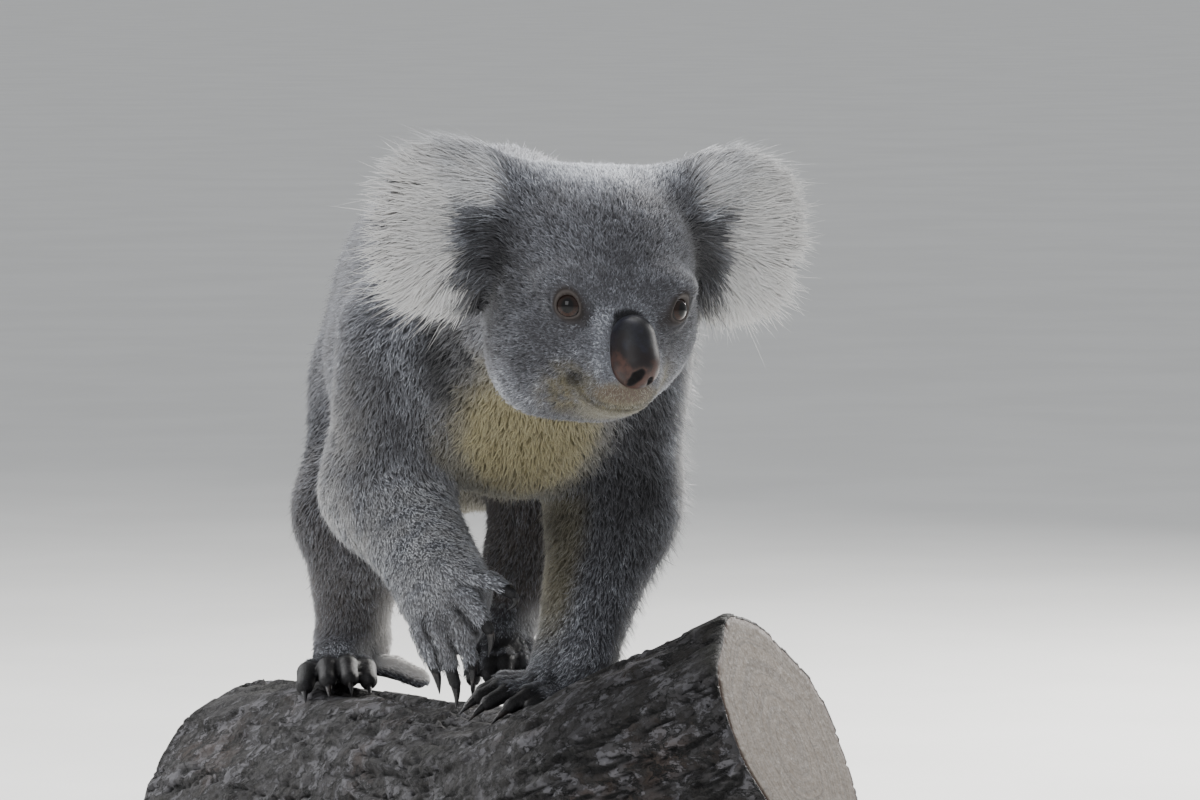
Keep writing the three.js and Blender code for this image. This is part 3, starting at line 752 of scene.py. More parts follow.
class Marks:
    """The coat's markings at points on the skin, each a share from 0 to 1, painted shade and painted light
    among them.
    """

    def __init__(self, s):
        self.s, self.h, self.m = s, s.h, both_sides(s.h)
        self.fine = wave_noise(s.p, 9, 3)
        self.off_head = 1 - s.of("head")
        self.past_inner_edge = self.m[:, 0] - 68 - 0.12 * (s.h[:, 2] - 36) + 3.5 * self.fine  # of an ear
        # The ears' tops: pale fur, partly painted sunlight.
        self.pale_and_sunlit_ear_top = s.ear * smoothstep(46, 58, s.h[:, 2])
        self.neck_shade = 0.72 * blob(s.p, (-44, -76, 208), (17, 32, 26), 0.7) * self.off_head
        blotches = np.clip(0.7 + 0.6 * wave_noise(s.p, 6, 7), 0, 1)
        self.stain = blob(self.m, (25, -54, -46), (14, 18, 15), 0.7) * blotches  # round the mouth's corners
        self.left_arm = s.in_region("arm_left", "forearm_left")
        self.left_leg = s.in_region("thigh_left", "shank_left")

    def cream(self):
        """Chest, the left arm's inner side, chin, lips, belly and the stain."""
        s, h = self.s, self.h
        front = smoothstep(0.25, -0.25, s.n[:, 1] + 0.35 * s.n[:, 2])
        chest = blob(s.p, (4, -62, 160), (39, 62, 58)) * self.off_head * front
        chest = np.maximum(chest, blob(s.p, (12, -95, 172), (42, 46, 38)) * self.off_head)
        inner_arm = blob(s.p, (28, -8, 120), (20, 36, 90)) * smoothstep(-0.2, -0.8, s.n[:, 0])
        both = np.maximum(chest * (1 - 0.75 * s.of("arm")), 0.6 * inner_arm)
        both = np.clip(both + 0.1 * self.fine * chest, 0, 1)
        chin = blob(h, (0, -56, -58), (26, 24, 12)) * 0.5
        lips = blob(h, (0, -72, -44), (19, 13, 8), 0.4) * 0.6
        belly = smoothstep(-0.35, -0.8, s.n[:, 2]) * s.of("trunk")
        return np.maximum.reduce([both, chin, lips, 0.55 * belly, 0.7 * self.stain])

    def dark_spots(self):
        """The ears' inner patches, nose band and mouth's corners, and painted shade along the lips' line, in
        the folds of the neck and in the clefts between the fingers.
        """
        s, h, fine = self.s, self.h, self.fine
        ears = blob(self.m, (62, -6, 15), (16, 28, 44), 0.6) * smoothstep(0.5, 0, s.hn[:, 1])
        ears *= smoothstep(54, 45, h[:, 2] + 3 * fine)
        ears *= np.clip(0.72 + 0.45 * fine + 0.35 * wave_noise(s.p, 4, 8), 0, 1)
        ears = ears * (1 - s.ear * smoothstep(-2, 8, self.past_inner_edge))
        band_reach = 2.2 + 3.6 * smoothstep(-8, 0, h[:, 2])
        nose_band = smoothstep(band_reach, band_reach - 1.6, NOSE_FORM(h)) * smoothstep(-14, -5, h[:, 2])
        mouth_corner = blob(self.m, (24.5, -56, -36.5), (5, 9, 5), 0.5)
        # Painted shadow under the upper lip, along the mouth's line.
        lip_line_shade = 0.45 * smoothstep(1.4, 0.3, MOUTH_FIELD(h)) * s.of("head")
        # Painted shade in streaks on the neck below the right ear.
        streaks = wave_noise(s.p * vec(2.2, 1.0, 0.45), 14, 9)
        neck_streak_shade = blob(s.p, (-42, -72, 203), (15, 24, 34), 0.5) * np.clip(0.55 + 0.9 * streaks, 0, 1)
        # Painted shadow in the gaps between the neck's folds.
        slits = np.minimum.reduce([chain(1.0, joints)(s.p) for joints in NECK_SLIT_SHADES])
        neck_slit_shade = smoothstep(3.0, 0.0, slits + 1.2 * fine) * self.off_head
        return np.maximum.reduce([ears, nose_band, 0.85 * mouth_corner, lip_line_shade, neck_streak_shade,
                                  self.neck_shade, neck_slit_shade, cleft_shade(s)])

    def dark(self):
        """The dark spots, with painted shade on the left arm and leg and on the front of the right arm."""
        s = self.s
        limbs = s.of("arm", "forearm", "thigh", "shank", "hand", "foot", "digit")
        # Painted shade on the left arm, deeper higher up and less on its outer side.
        left_arm = self.left_arm * (0.14 + 0.56 * smoothstep(30, 110, s.p[:, 2]))
        left_arm *= smoothstep(0.95, 0.4, s.n[:, 0])
        # Painted shade on the front of the right upper arm.
        front_side = smoothstep(-0.2, 0.4, -s.n[:, 1])
        right_arm_front_shade = s.in_region("arm_right") * blob(s.p, (-68, -40, 166), (40, 60, 34), 0.8) * front_side
        # Painted shade on the left thigh and shank above their lowest parts.
        left_leg = self.left_leg * smoothstep(30, 60, s.p[:, 2])
        dark = self.dark_spots() + left_arm + 0.34 * right_arm_front_shade + 0.5 * left_leg + 0.10 * self.fine * limbs
        stain = 0.55 * self.stain * np.clip(0.5 + wave_noise(s.p, 5, 17), 0, 1)
        return np.maximum(np.clip(dark, 0, 1), stain)

    def pale(self):
        """Crown, muzzle, rump, shoulder, hands and ears, with painted light on the jawline, the back's top,
        the left arm's fringe and the lifted right forearm and hand, and partly on the ears' tops.
        """
        s, h = self.s, self.h
        crown = blob(h, (0, 6, 78), (52, 44, 26)) * 0.9
        # Painted backlight along the jawline.
        backlit_jaw = blob(self.m, (46, -20, -52), (22, 34, 16), 0.6) * 0.7 * s.of("head")
        muzzle = 0.75 * s.of("head") * smoothstep(17, 5, NOSE_FORM(h)) * smoothstep(14, -2, h[:, 2])
        rump = smoothstep(180, 290, s.p[:, 1]) * s.of("trunk") * 0.35
        # Painted light on the trunk's upward faces.
        lit_hump = smoothstep(0.4, 0.9, s.n[:, 2]) * s.of("trunk") * 0.35
        hand = 0.55 * s.of("hand", "digit", "forearm") + 0.3 * s.of("foot")
        shoulder = 0.7 * s.in_region("arm_right", "trunk") * blob(s.p, (-66, -24, 216), (40, 46, 26), 0.8)
        # Painted backlight on the left arm's fringe of long hairs, painted light on the lifted right forearm
        # and hand, and the ears' tops pale partly as painted sunlight.
        pale = np.maximum.reduce([crown, backlit_jaw, muzzle, rump, lit_hump, hand, shoulder, 0.7 * arm_fringe(s),
                                  self.pale_and_sunlit_ear_top, s.in_region("forearm_right", "hand_right"), 0.6 * s.ear])
        return np.clip(pale * (1 - self.neck_shade) + 0.12 * wave_noise(s.p, 40, 5), 0, 1)

    def brown(self):
        """Shanks, the legs' inner sides, the left leg and the stain."""
        s = self.s
        inward = np.abs(s.n[:, 0]) * np.where(s.p[:, 0] * s.n[:, 0] < 0, 1, 0)
        inner_legs = s.of("thigh", "shank") * smoothstep(0.2, 0.9, inward)
        brown = np.clip(0.75 * s.of("shank") + 0.5 * inner_legs + 0.8 * self.left_leg, 0, 1)
        return np.clip(np.maximum(brown * 0.8, self.stain), 0, 1)

    def white(self):
        """The ears' white fronts with painted shade in their hollows, and pale fur that is partly painted rim
        light on the right elbow and the edges of shank, toe, heel, left arm and lifted hand.
        """
        s, h = self.s, self.h
        rim_top = smoothstep(62, 76, h[:, 2]) * smoothstep(104, 78, self.m[:, 0])
        ears = smoothstep(-0.6, 0.2, -s.hn[:, 1]) * s.ear * (1 - 0.25 * rim_top)
        ears *= np.maximum(smoothstep(-4, 7, self.past_inner_edge), 0.65 * self.pale_and_sunlit_ear_top)
        # Painted shade: less white in each ear's hollow.
        ears *= 1 - 0.24 * blob(self.m, (78, -6, 32), (20, 16, 24), 0.7)
        # Painted rim light on the right elbow's outer, lower side.
        elbow = blob(s.p, (-92, 4, 112), (34, 56, 64), 0.9)
        elbow = elbow * smoothstep(0.3, 1.0, -0.8 * s.n[:, 0] - 0.6 * s.n[:, 2])
        elbow *= np.clip(0.75 + 0.5 * self.fine, 0, 1)
        # Whiter top of the right foot's first toe: pale fur, partly painted light.
        toe = smoothstep(0.2, 0.7, s.in_region("foot_right_1")) * smoothstep(-0.3, 0.2, s.n[:, 2])
        # Painted rim light on the right shank and foot, on the side facing the animal's left, low down.
        shank = s.in_region("shank_right", "foot_right") * smoothstep(0.2, 0.8, s.n[:, 0])
        shank = shank * smoothstep(70, 20, s.p[:, 2])
        # Painted rim light on the outer side of the left heel, low down.
        heel = s.in_region("foot_left", "shank_left") * smoothstep(0.1, 0.7, s.n[:, 0])
        heel = heel * smoothstep(44, 30, s.p[:, 2])
        # Painted rim light on the left arm's outer side.
        outer_arm_rim_light = self.left_arm * smoothstep(0.7, 1.0, s.n[:, 0])
        # Painted light on the lifted right forearm and hand.
        hand = 0.30 * s.in_region("forearm_right", "hand_right") * np.clip(0.8 + 0.5 * self.fine, 0, 1)
        return np.maximum.reduce([ears, 0.75 * elbow * s.in_region("arm_right", "forearm_right"), toe,
                                  0.6 * shank, 0.55 * outer_arm_rim_light, 0.5 * heel, hand])


def markings(s):
    """Cream, dark, pale, brown and white shares of the coat; painted shade is among the dark, painted light
    among the pale and white.
    """
    marks = Marks(s)
    return marks.cream(), marks.dark(), marks.pale(), marks.brown(), marks.white()


# ---------- Shader maths: sockets whose arithmetic adds nodes


class Value:
    """A shader socket. Arithmetic on it adds Math nodes to its material."""

    def __init__(self, nodes, socket):
        self.nodes, self.socket = nodes, socket

    def math(self, operation, a, b, clamp=False):
        settings = {"operation": operation, "use_clamp": clamp}
        return self.nodes.add("ShaderNodeMath", settings, {0: a, 1: b})

    def __add__(self, other):
        return self.math("ADD", self, other)

    def __sub__(self, other):
        return self.math("SUBTRACT", self, other)

    def __rsub__(self, other):
        return self.math("SUBTRACT", other, self)

    def __mul__(self, other):
        return self.math("MULTIPLY", self, other)

    __radd__ = __add__
    __rmul__ = __mul__

    def clamped(self):
        return self.math("ADD", self, 0.0, clamp=True)


class Nodes:
    """A material's node tree, built one node at a time."""

    def __init__(self, name):
        self.material = bpy.data.materials.new(name)
        self.material.use_nodes = True
        self.tree = self.material.node_tree
        self.tree.nodes.clear()

    def add(self, kind, settings=None, inputs=None, output=0):
        node = self.tree.nodes.new(kind)
        for key, value in (settings or {}).items():
            if key == "stops":
                self.set_stops(node.color_ramp, value)
            else:
                setattr(node, key, value)
        for key, value in (inputs or {}).items():
            if isinstance(value, Value):
                self.tree.links.new(value.socket, node.inputs[key])
            else:
                node.inputs[key].default_value = value
        return Value(self, node.outputs[output]) if len(node.outputs) else node

    @staticmethod
    def set_stops(ramp, stops):
        while len(ramp.elements) < len(stops):
            ramp.elements.new(0.5)
        for element, (at, colour) in zip(ramp.elements, stops):
            element.position = at
            element.color = colour

    def attribute(self, name):
        """The four channels of a painted attribute."""
        colour = self.add("ShaderNodeAttribute", {"attribute_name": name})
        fourth = Value(self, colour.socket.node.outputs["Alpha"])
        split = self.add("ShaderNodeSeparateColor", {}, {0: colour}).socket.node
        return [Value(self, split.outputs[i]) for i in range(3)] + [fourth]

    def place(self, scale=(1, 1, 1), turn=(0, 0, 0)):
        """Object coordinates in metres, turned and scaled."""
        own = self.add("ShaderNodeTexCoord", output="Object")
        return self.add("ShaderNodeMapping", {}, {"Vector": own, "Rotation": turn, "Scale": scale})

    def noise(self, at, scale, detail=3.0, roughness=0.55, warp=0.0):
        inputs = {"Vector": at, "Scale": scale, "Detail": detail, "Roughness": roughness, "Distortion": warp}
        return self.add("ShaderNodeTexNoise", {}, inputs)

    def cells(self, at, scale, feature="F1", output="Distance"):
        return self.add("ShaderNodeTexVoronoi", {"feature": feature}, {"Vector": at, "Scale": scale}, output)

    def mix(self, share, a, b):
        settings = {"data_type": "RGBA", "clamp_factor": True}
        return self.add("ShaderNodeMix", settings, {0: share, 6: a, 7: b}, 2)

    def between(self, value, low, high, to_low=0.0, to_high=1.0):
        settings = {"interpolation_type": "SMOOTHSTEP"}
        inputs = {"Value": value, 1: low, 2: high, 3: to_low, 4: to_high}
        return self.add("ShaderNodeMapRange", settings, inputs)

    def ramp(self, value, stops):
        return self.add("ShaderNodeValToRGB", {"stops": stops}, {0: value})

    def bump(self, height, strength, distance):
        inputs = {"Height": height, "Strength": strength, "Distance": distance}
        return self.add("ShaderNodeBump", {}, inputs)

    def surface(self, **inputs):
        """Finishes the material with one Principled shader. Underscores in names stand for spaces."""
        named = {key.replace("_", " "): value for key, value in inputs.items()}
        shader = self.add("ShaderNodeBsdfPrincipled", {}, named)
        self.add("ShaderNodeOutputMaterial", {}, {"Surface": shader})
        return self.material


def paint_colour(red, green, blue):
    """A colour given as on a paint card, 0 to 255, as the linear numbers that a shader takes."""
    linear = [(c / 255 / 12.92) if c < 11 else ((c / 255 + 0.055) / 1.055) ** 2.4 for c in (red, green, blue)]
    return (*linear, 1.0)


# ---------- Fur and skin materials

FUR = {
    "shade": paint_colour(50, 50, 53),
    "grey": paint_colour(98, 98, 103),
    # The light and tip greys are tinted blue: painted skylight.
    "light": paint_colour(152, 155, 163),
    "tip": paint_colour(218, 222, 230),
    # The cream colours are darker and yellower than cream fur is: painted shade, such as falls on the chest.
    "cream": paint_colour(190, 180, 138),
    "cream_shade": paint_colour(126, 115, 80),
    "dark": paint_colour(27, 26, 29),
    "brown": paint_colour(94, 80, 67),
    "white": paint_colour(252, 251, 249),
    "white_shade": paint_colour(226, 221, 216),
}


def coat_colour(nodes, along, chance, tone, white):
    """The colour of the coat from the markings, and along a tuft from its dark root to its pale tip."""
    cream, dark, pale, brown = nodes.attribute("marks")
    level = (chance * 0.32 + tone * 0.44 + along * 0.30 + pale * 0.36 - dark * 0.10 - 0.07).clamped()
    grey = nodes.ramp(level, [(0.0, FUR["shade"]), (0.46, FUR["grey"]),
                              (0.82, FUR["light"]), (1.0, FUR["tip"])])
    warm = nodes.mix(brown * 0.85, grey, nodes.mix(chance * 0.8, FUR["brown"], grey))
    creamy = nodes.mix((chance * 0.5 + along * 0.6).clamped(), FUR["cream_shade"], FUR["cream"])
    colour = nodes.mix(cream, warm, creamy)
    blaze = nodes.mix((chance * 0.4 + along * 0.8).clamped(), FUR["white_shade"], FUR["white"])
    colour = nodes.mix(white, colour, blaze)
    colour = nodes.mix(dark * (1 - along * 0.15), colour, FUR["dark"])
    root = nodes.between(along, 0.0, 0.7, 0.40, 1.0)
    deep = nodes.mix(0.62 - white * 0.56 - cream * 0.42, colour, FUR["dark"])
    return nodes.mix(root, deep, colour)


def coat_material(name):
    nodes = Nodes(name)
    along, chance, tone, white = nodes.attribute("strand")
    wool = nodes.noise(nodes.place(), 560, 3.0, 0.7)
    colour = coat_colour(nodes, along, chance, tone + (wool - 0.5) * 2.0, white)
    hairs = nodes.noise(nodes.place(), 2600, 2.0, 0.6)
    colour = nodes.mix(nodes.between(hairs, 0.35, 0.7, 0.0, 0.28) * (1 - white * 0.8), colour, FUR["shade"])
    bump = nodes.bump(hairs, 0.5, 0.0004)
    rough = nodes.between(hairs, 0.3, 0.7, 0.52, 0.74)
    return nodes.surface(Base_Color=colour, Roughness=rough, Normal=bump, Specular_IOR_Level=0.35,
                         Sheen_Weight=0.25, Sheen_Roughness=0.45)


SKIN = {
    "leather": paint_colour(16, 15, 17),
    "leather_worn": paint_colour(42, 41, 45),
    "pink": paint_colour(82, 66, 59),
    "pink_pale": paint_colour(104, 89, 77),
    "lid": paint_colour(58, 52, 50),
    "lid_dark": paint_colour(38, 34, 34),
    "rim": paint_colour(70, 63, 60),
}


def skin_material():
    nodes = Nodes("skin")
    along, chance, tone, white = nodes.attribute("strand")
    leather_share, pink, lid, rim = nodes.attribute("bare")
    at = nodes.place()
    grain = nodes.noise(at, 900, 4.0, 0.6)
    pebbles = nodes.cells(at, 1100)
    hairs = nodes.noise(nodes.place(), 1700, 3.0, 0.65)
    colour = coat_colour(nodes, along + hairs * 0.4 - 0.2, chance * 0.5 + hairs * 0.5, tone, white)
    worn = nodes.between(grain, 0.45, 0.75)
    colour = nodes.mix(leather_share, colour, nodes.mix(worn, SKIN["leather"], SKIN["leather_worn"]))
    lip = nodes.mix(nodes.between(grain, 0.3, 0.7), SKIN["pink"], SKIN["pink_pale"])
    colour = nodes.mix(pink, colour, lip)
    colour = nodes.mix(lid, colour, nodes.mix(grain, SKIN["lid_dark"], SKIN["lid"]))
    colour = nodes.mix(rim, colour, SKIN["rim"])
    height = grain * 0.6 + pebbles * 0.5 * (leather_share + pink * 0.5).clamped() + hairs * 0.6
    bump = nodes.bump(height, 0.6, 0.0007)
    rough = (0.78 - leather_share * 0.30 - pink * 0.25 - rim * 0.35 + grain * 0.08).clamped()
    return nodes.surface(Base_Color=colour, Roughness=rough, Normal=bump, Specular_IOR_Level=0.4)


# ---------- The skin piece


def normals_of(mesh):
    n = np.empty(len(mesh.vertices) * 3, np.float32)
    mesh.vertex_normals.foreach_get("vector", n)
    return n.reshape(-1, 3).astype(float)


def bare_skin(s):
    """Leather, pink lip, bare lids and their pale rims."""
    lips = 0.9 * blob(s.h, (0, -72, -43), (21, 13, 6.5), 0.5) * smoothstep(0.5, 2.0, MOUTH_FIELD(s.h))
    lid, rim = np.zeros(len(s.p)), np.zeros(len(s.p))
    for side in SIDES:
        edge, reach, q = lid_edge(side, s.h)
        close = smoothstep(19, 13, reach) * (q[:, 2] > 0)
        inner = smoothstep(-4, 8, -SIDES[side] * q[:, 0] - 0.6 * q[:, 1])
        lid = np.maximum(lid, close * smoothstep(2.0 + 2.2 * inner, 0.7, edge))
        rim = np.maximum(rim, close * smoothstep(0.6, 0.25, edge))
    return leather(s), lips, lid, rim


def make_skin():
    surface = Surface(to_animal(SKIN_POINTS), normals_of(SKIN_MESH))
    cream, dark, pale, brown, white = markings(surface)
    paint(SKIN_MESH, "marks", cream, dark, pale, brown)
    n = len(SKIN_POINTS)
    face = surface.of("head") * (1 - surface.ear)
    paint(SKIN_MESH, "strand", 0.25 + 0.25 * face, np.full(n, 0.5), np.full(n, 0.4), white)
    paint(SKIN_MESH, "bare", *bare_skin(surface))
    skin = add_object("skin", SKIN_MESH, skin_material())
    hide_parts(*FLESH)
    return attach(skin, "root")


# ---------- Coat


def triangles_of(mesh):
    mesh.calc_loop_triangles()
    corners = np.empty(len(mesh.loop_triangles) * 3, np.int32)
    mesh.loop_triangles.foreach_get("vertices", corners)
    return corners.reshape(-1, 3)


def by_kind(s, size):
    """One of the fur's named sizes at each point, blended between the kinds of fur."""
    return s.kind.T @ np.array([getattr(COATS[kind], size) for kind in KINDS])


def face_fineness(h):
    """1 at the nose, falling to 0 at the crown and the ears."""
    return smoothstep(95, 22, length(h - NOSE_TIP))


def tuft_density(s):
    density = by_kind(s, "density")
    density = density * (1 - s.ear) + (0.66 + 0.50 * smoothstep(-0.3, 0.3, -s.hn[:, 1])) * s.ear
    density *= 1 + 1.1 * face_fineness(s.h) * s.of("head")
    hidden = smoothstep(-0.6, -0.95, s.n[:, 2]) * s.of("trunk")
    density *= 1 - 0.35 * hidden
    bare_leather, lips, lid, rim = bare_skin(s)
    density *= 1 - np.clip(1.3 * bare_leather, 0, 1)
    density *= 1 - np.clip(1.2 * lips, 0, 0.70)
    density *= 1 - 0.9 * smoothstep(1.0, 0.2, MOUTH_FIELD(s.h)) * s.of("head")
    density *= 1 - np.clip(1.3 * lid, 0, 0.80)
    density *= 1 - np.clip(3.0 * rim, 0, 1)
    density *= smoothstep(-0.5, 0.6, NOSE_FORM(s.h))
    for side in SIDES:
        q = (s.h - EYE_AT[side]) @ eye_frame(side).T
        density *= np.where(length(q) < EYE_RADIUS + 1.2, 0, 1)
    return density


def scatter(mesh):
    """Tuft roots over the skin: their places in the animal's frame and the skin's normals there."""
    points, normals = to_animal(places_of(mesh)), normals_of(mesh)
    tris = triangles_of(mesh)
    a, b, c = (points[tris[:, i]] for i in range(3))
    area = length(np.cross(b - a, c - a)) / 2
    centre = Surface((a + b + c) / 3, unit(normals[tris].sum(1)))
    wanted = tuft_density(centre) * area
    count = np.floor(wanted + rng.random(len(wanted))).astype(int)
    tri = np.repeat(np.arange(len(tris)), count)
    u, v = rng.random((2, len(tri)))
    over = u + v > 1
    u[over], v[over] = 1 - u[over], 1 - v[over]
    weights = np.stack([1 - u - v, u, v], 1)
    corner = tris[tri]
    root = np.einsum("ij,ijk->ik", weights, points[corner])
    normal = unit(np.einsum("ij,ijk->ik", weights, normals[corner]))
    return root, normal


def lie_of_coat(s):
    """Which way the coat lies at each point, along the skin."""
    way = np.zeros_like(s.p)
    for region, share in zip(REGIONS, s.region):
        way += share[:, None] * unit(np.asarray(region.lie(s.p), float))
    for i, side in enumerate(SIDES.values()):
        from_middle = (s.h - EAR_MIDDLE * vec(side, 1, 1)) / vec(35, 60, 40)
        fan = from_middle * np.stack([np.full(len(s.h), 0.6), np.full(len(s.h), 0.3),
                                      np.where(from_middle[:, 2] > 0, 0.40, 1.25)], 1)
        outward = fan + vec(side, 0, -0.05)
        way = way * (1 - s.ears[i])[:, None] + unit(outward) @ HEAD_TURN.T * s.ears[i][:, None]
    way -= s.n * np.einsum("ij,ij->i", way, s.n)[:, None]
    return unit(way)


def swirled(way, normal, angle):
    """Directions turned about the normals."""
    side = np.cross(normal, way)
    return way * np.cos(angle)[:, None] + side * np.sin(angle)[:, None]


CELL_SPAN = 1000  # more than the number of locks along any side of the animal


def locks_of(s):
    """Groups roots into locks: each root's lock, how many locks there are, and how far each root's tip
    leans to its lock's middle."""
    own = np.where(s.ear > 0.5, len(KINDS), s.kind.argmax(0))
    sizes = np.array([COATS[kind].lock for kind in KINDS] + [EAR_LOCK])
    gathers = np.array([COATS[kind].gather for kind in KINDS] + [EAR_GATHER])
    warp = np.stack([wave_noise(s.p, 14, seed) for seed in (31, 32, 33)], 1)
    cell = np.floor(s.p / sizes[own][:, None] + 0.5 * warp).astype(int) + CELL_SPAN // 2
    key = ((own * CELL_SPAN + cell[:, 0]) * CELL_SPAN + cell[:, 1]) * CELL_SPAN + cell[:, 2]
    lock = np.unique(key, return_inverse=True)[1]
    count = np.bincount(lock)
    middle = np.stack([np.bincount(lock, s.p[:, i]) / count for i in range(3)], 1)
    lean = middle[lock] - s.p
    lean -= s.n * np.einsum("ij,ij->i", lean, s.n)[:, None]
    return lock, len(count), lean * gathers[own][:, None]


class Coat:
    """The sizes and looks of all tufts, worked out at their roots."""

    def __init__(self, root, normal):
        s = Surface(root, normal)
        n = len(root)
        self.s, self.root, self.normal = s, root, normal
        self.chance = rng.random(n)
        lock, locks, self.lean = locks_of(s)
        of_lock = rng.normal(size=(3, locks))[:, lock]
        clump = wave_noise(root, 9, 11)
        drift = wave_noise(root, 30, 12)
        spread = 0.14 * clump + 0.16 * drift + 0.12 * of_lock[0] + 0.15 * rng.normal(size=n)
        woolly = 1 - np.maximum.reduce([s.ear, s.of("digit", "hand", "foot")])
        spread += 0.28 * woolly * rng.normal(size=n)
        self.way = swirled(lie_of_coat(s), normal, spread)
        self.lean += np.cross(normal, self.way) * (0.9 * woolly * rng.normal(size=n))[:, None]
        fine = face_fineness(s.h) * s.of("head")
        self.depth = by_kind(s, "depth") * (1 - 0.55 * fine)
        self.size = by_kind(s, "length") * (1 - 0.50 * fine)
        self.width = by_kind(s, "width") * (1 - 0.30 * fine)
        _, lips, lid, _ = bare_skin(s)
        self.size *= 1 - 0.45 * np.maximum(lips, lid)
        self.width *= 1 - 0.35 * np.maximum(lips, lid)
        self.add_ears(s)
        self.size *= rng.uniform(0.78, 1.2, n) * (1 + 0.10 * of_lock[1])
        self.lift = self.depth * (0.08 * clump + 0.08 * of_lock[1] + rng.normal(0, 0.12, n))
        self.add_stray(s, n)
        tone = 0.5 + 0.18 * clump + 0.20 * drift + 0.12 * of_lock[2] + 0.12 * rng.normal(size=n)
        self.tone = np.clip(tone, 0, 1)

    def add_ears(self, s):
        """Long tufts on the ears, longest on their fronts and low down."""
        front = smoothstep(-0.3, 0.5, -s.hn[:, 1])
        low = smoothstep(30, 0, s.h[:, 2])
        long = 12 + (9 + 5 * low) * front - 4 * front * smoothstep(0.8, 0.3, out_on_ear(s.h))
        self.size = self.size * (1 - s.ear) + long * s.ear
        self.depth = self.depth * (1 - s.ear) + (4 + 3.5 * front) * s.ear
        self.width = self.width * (1 - s.ear) + 0.40 * s.ear
        self.rows = np.where(s.ear > 0.4, 2, 1)

    def add_stray(self, s, n):
        """A few thin tufts that stand out past the others."""
        fringe = arm_fringe(s)
        ear_rim = s.ear * smoothstep(0.7, 1.0, out_on_ear(s.h))
        likely = 0.05 + 0.04 * s.of("arm", "forearm") + 0.05 * s.ear + 0.06 * ear_rim + 0.16 * fringe
        stray = rng.random(n) < likely
        self.size *= np.where(stray, rng.uniform(1.25, 1.65, n) + 0.1 * ear_rim, 1)
        self.width = np.where(stray, self.width * 0.5, self.width)
        self.lift += np.where(stray, self.depth * rng.uniform(0.2, 0.8, n) * (1 + 1.3 * fringe), 0)


COAT_LEVELS = {1: (0.42,), 2: (0.30, 0.66)}  # where along a tuft its rings of three points are
PATCH = 0.003  # a tuft's size on the bake map
SOFTNESS = 0.6  # how far tufts are lit as one surface
ROOT_DEPTH = 0.4  # how far under the skin a tuft starts


def tuft_points(coat, pick, rows):
    """The points of tufts with that many rings: root, rings of three, and tip, in the animal's frame."""
    root, normal, way = coat.root[pick], coat.normal[pick], coat.way[pick]
    size, depth, lift = coat.size[pick], coat.depth[pick], coat.lift[pick]
    side = np.cross(normal, way)
    levels = COAT_LEVELS[rows]
    points = [root - ROOT_DEPTH * normal]
    for t in (*levels, 1.0):
        rise = depth * (1 - (1 - t) ** 1.8) + lift * t
        centre = root + way * (size * (0.96 * t))[:, None] + coat.lean[pick] * t**1.4
        height = in_batches(skin_field, centre)
        centre = centre + normal * (rise - np.clip(height, -6, 12))[:, None]
        if t == 1.0:
            points.append(centre)
            continue
        half = (coat.width[pick] * (1 if t < 0.5 else 0.72))[:, None]
        points += [centre - side * half, centre + side * half, centre + normal * 0.75 * half]
    return np.stack(points, 1)


def tuft_normals(coat, pick, rows):
    """How the tufts' points catch the light: mostly as the coat's surface does, partly as round hairs do."""
    normal, way = coat.normal[pick], coat.way[pick]
    side = np.cross(normal, way)
    around = [-side, side, normal] * rows
    return np.stack([unit(SOFTNESS * normal + (1 - SOFTNESS) * own) for own in (normal, *around, way)], 1)


def tuft_faces(rows):
    """The triangles of one tuft, facing outwards."""
    faces = [(0, 2, 1), (0, 3, 2), (0, 1, 3)]
    for k in range(rows - 1):
        a = 1 + 3 * k
        for i, j in ((0, 1), (1, 2), (2, 0)):
            faces += [(a + i, a + j, a + 3 + j), (a + i, a + 3 + j, a + 3 + i)]
    a, tip = 3 * rows - 2, 3 * rows + 1
    faces += [(a, a + 1, tip), (a + 1, a + 2, tip), (a + 2, a, tip)]
    return np.array(faces)


def box_unwrap(points, normals):
    """A place from 0 to 1 for each point on six charts, one for each way that the skin faces."""
    low, high = points.min(0), points.max(0)
    share = (points - low) / (high - low).max()
    axis = np.abs(normals).argmax(1)
    row = (normals[np.arange(len(normals)), axis] > 0).astype(int)
    first, second = np.where(axis == 0, 1, 0), np.where(axis == 2, 1, 2)
    n = np.arange(len(points))
    u = (axis + 0.02 + 0.96 * share[n, first]) / 3
    v = (row + 0.02 + 0.96 * share[n, second]) / 2
    return np.stack([u, v], 1)


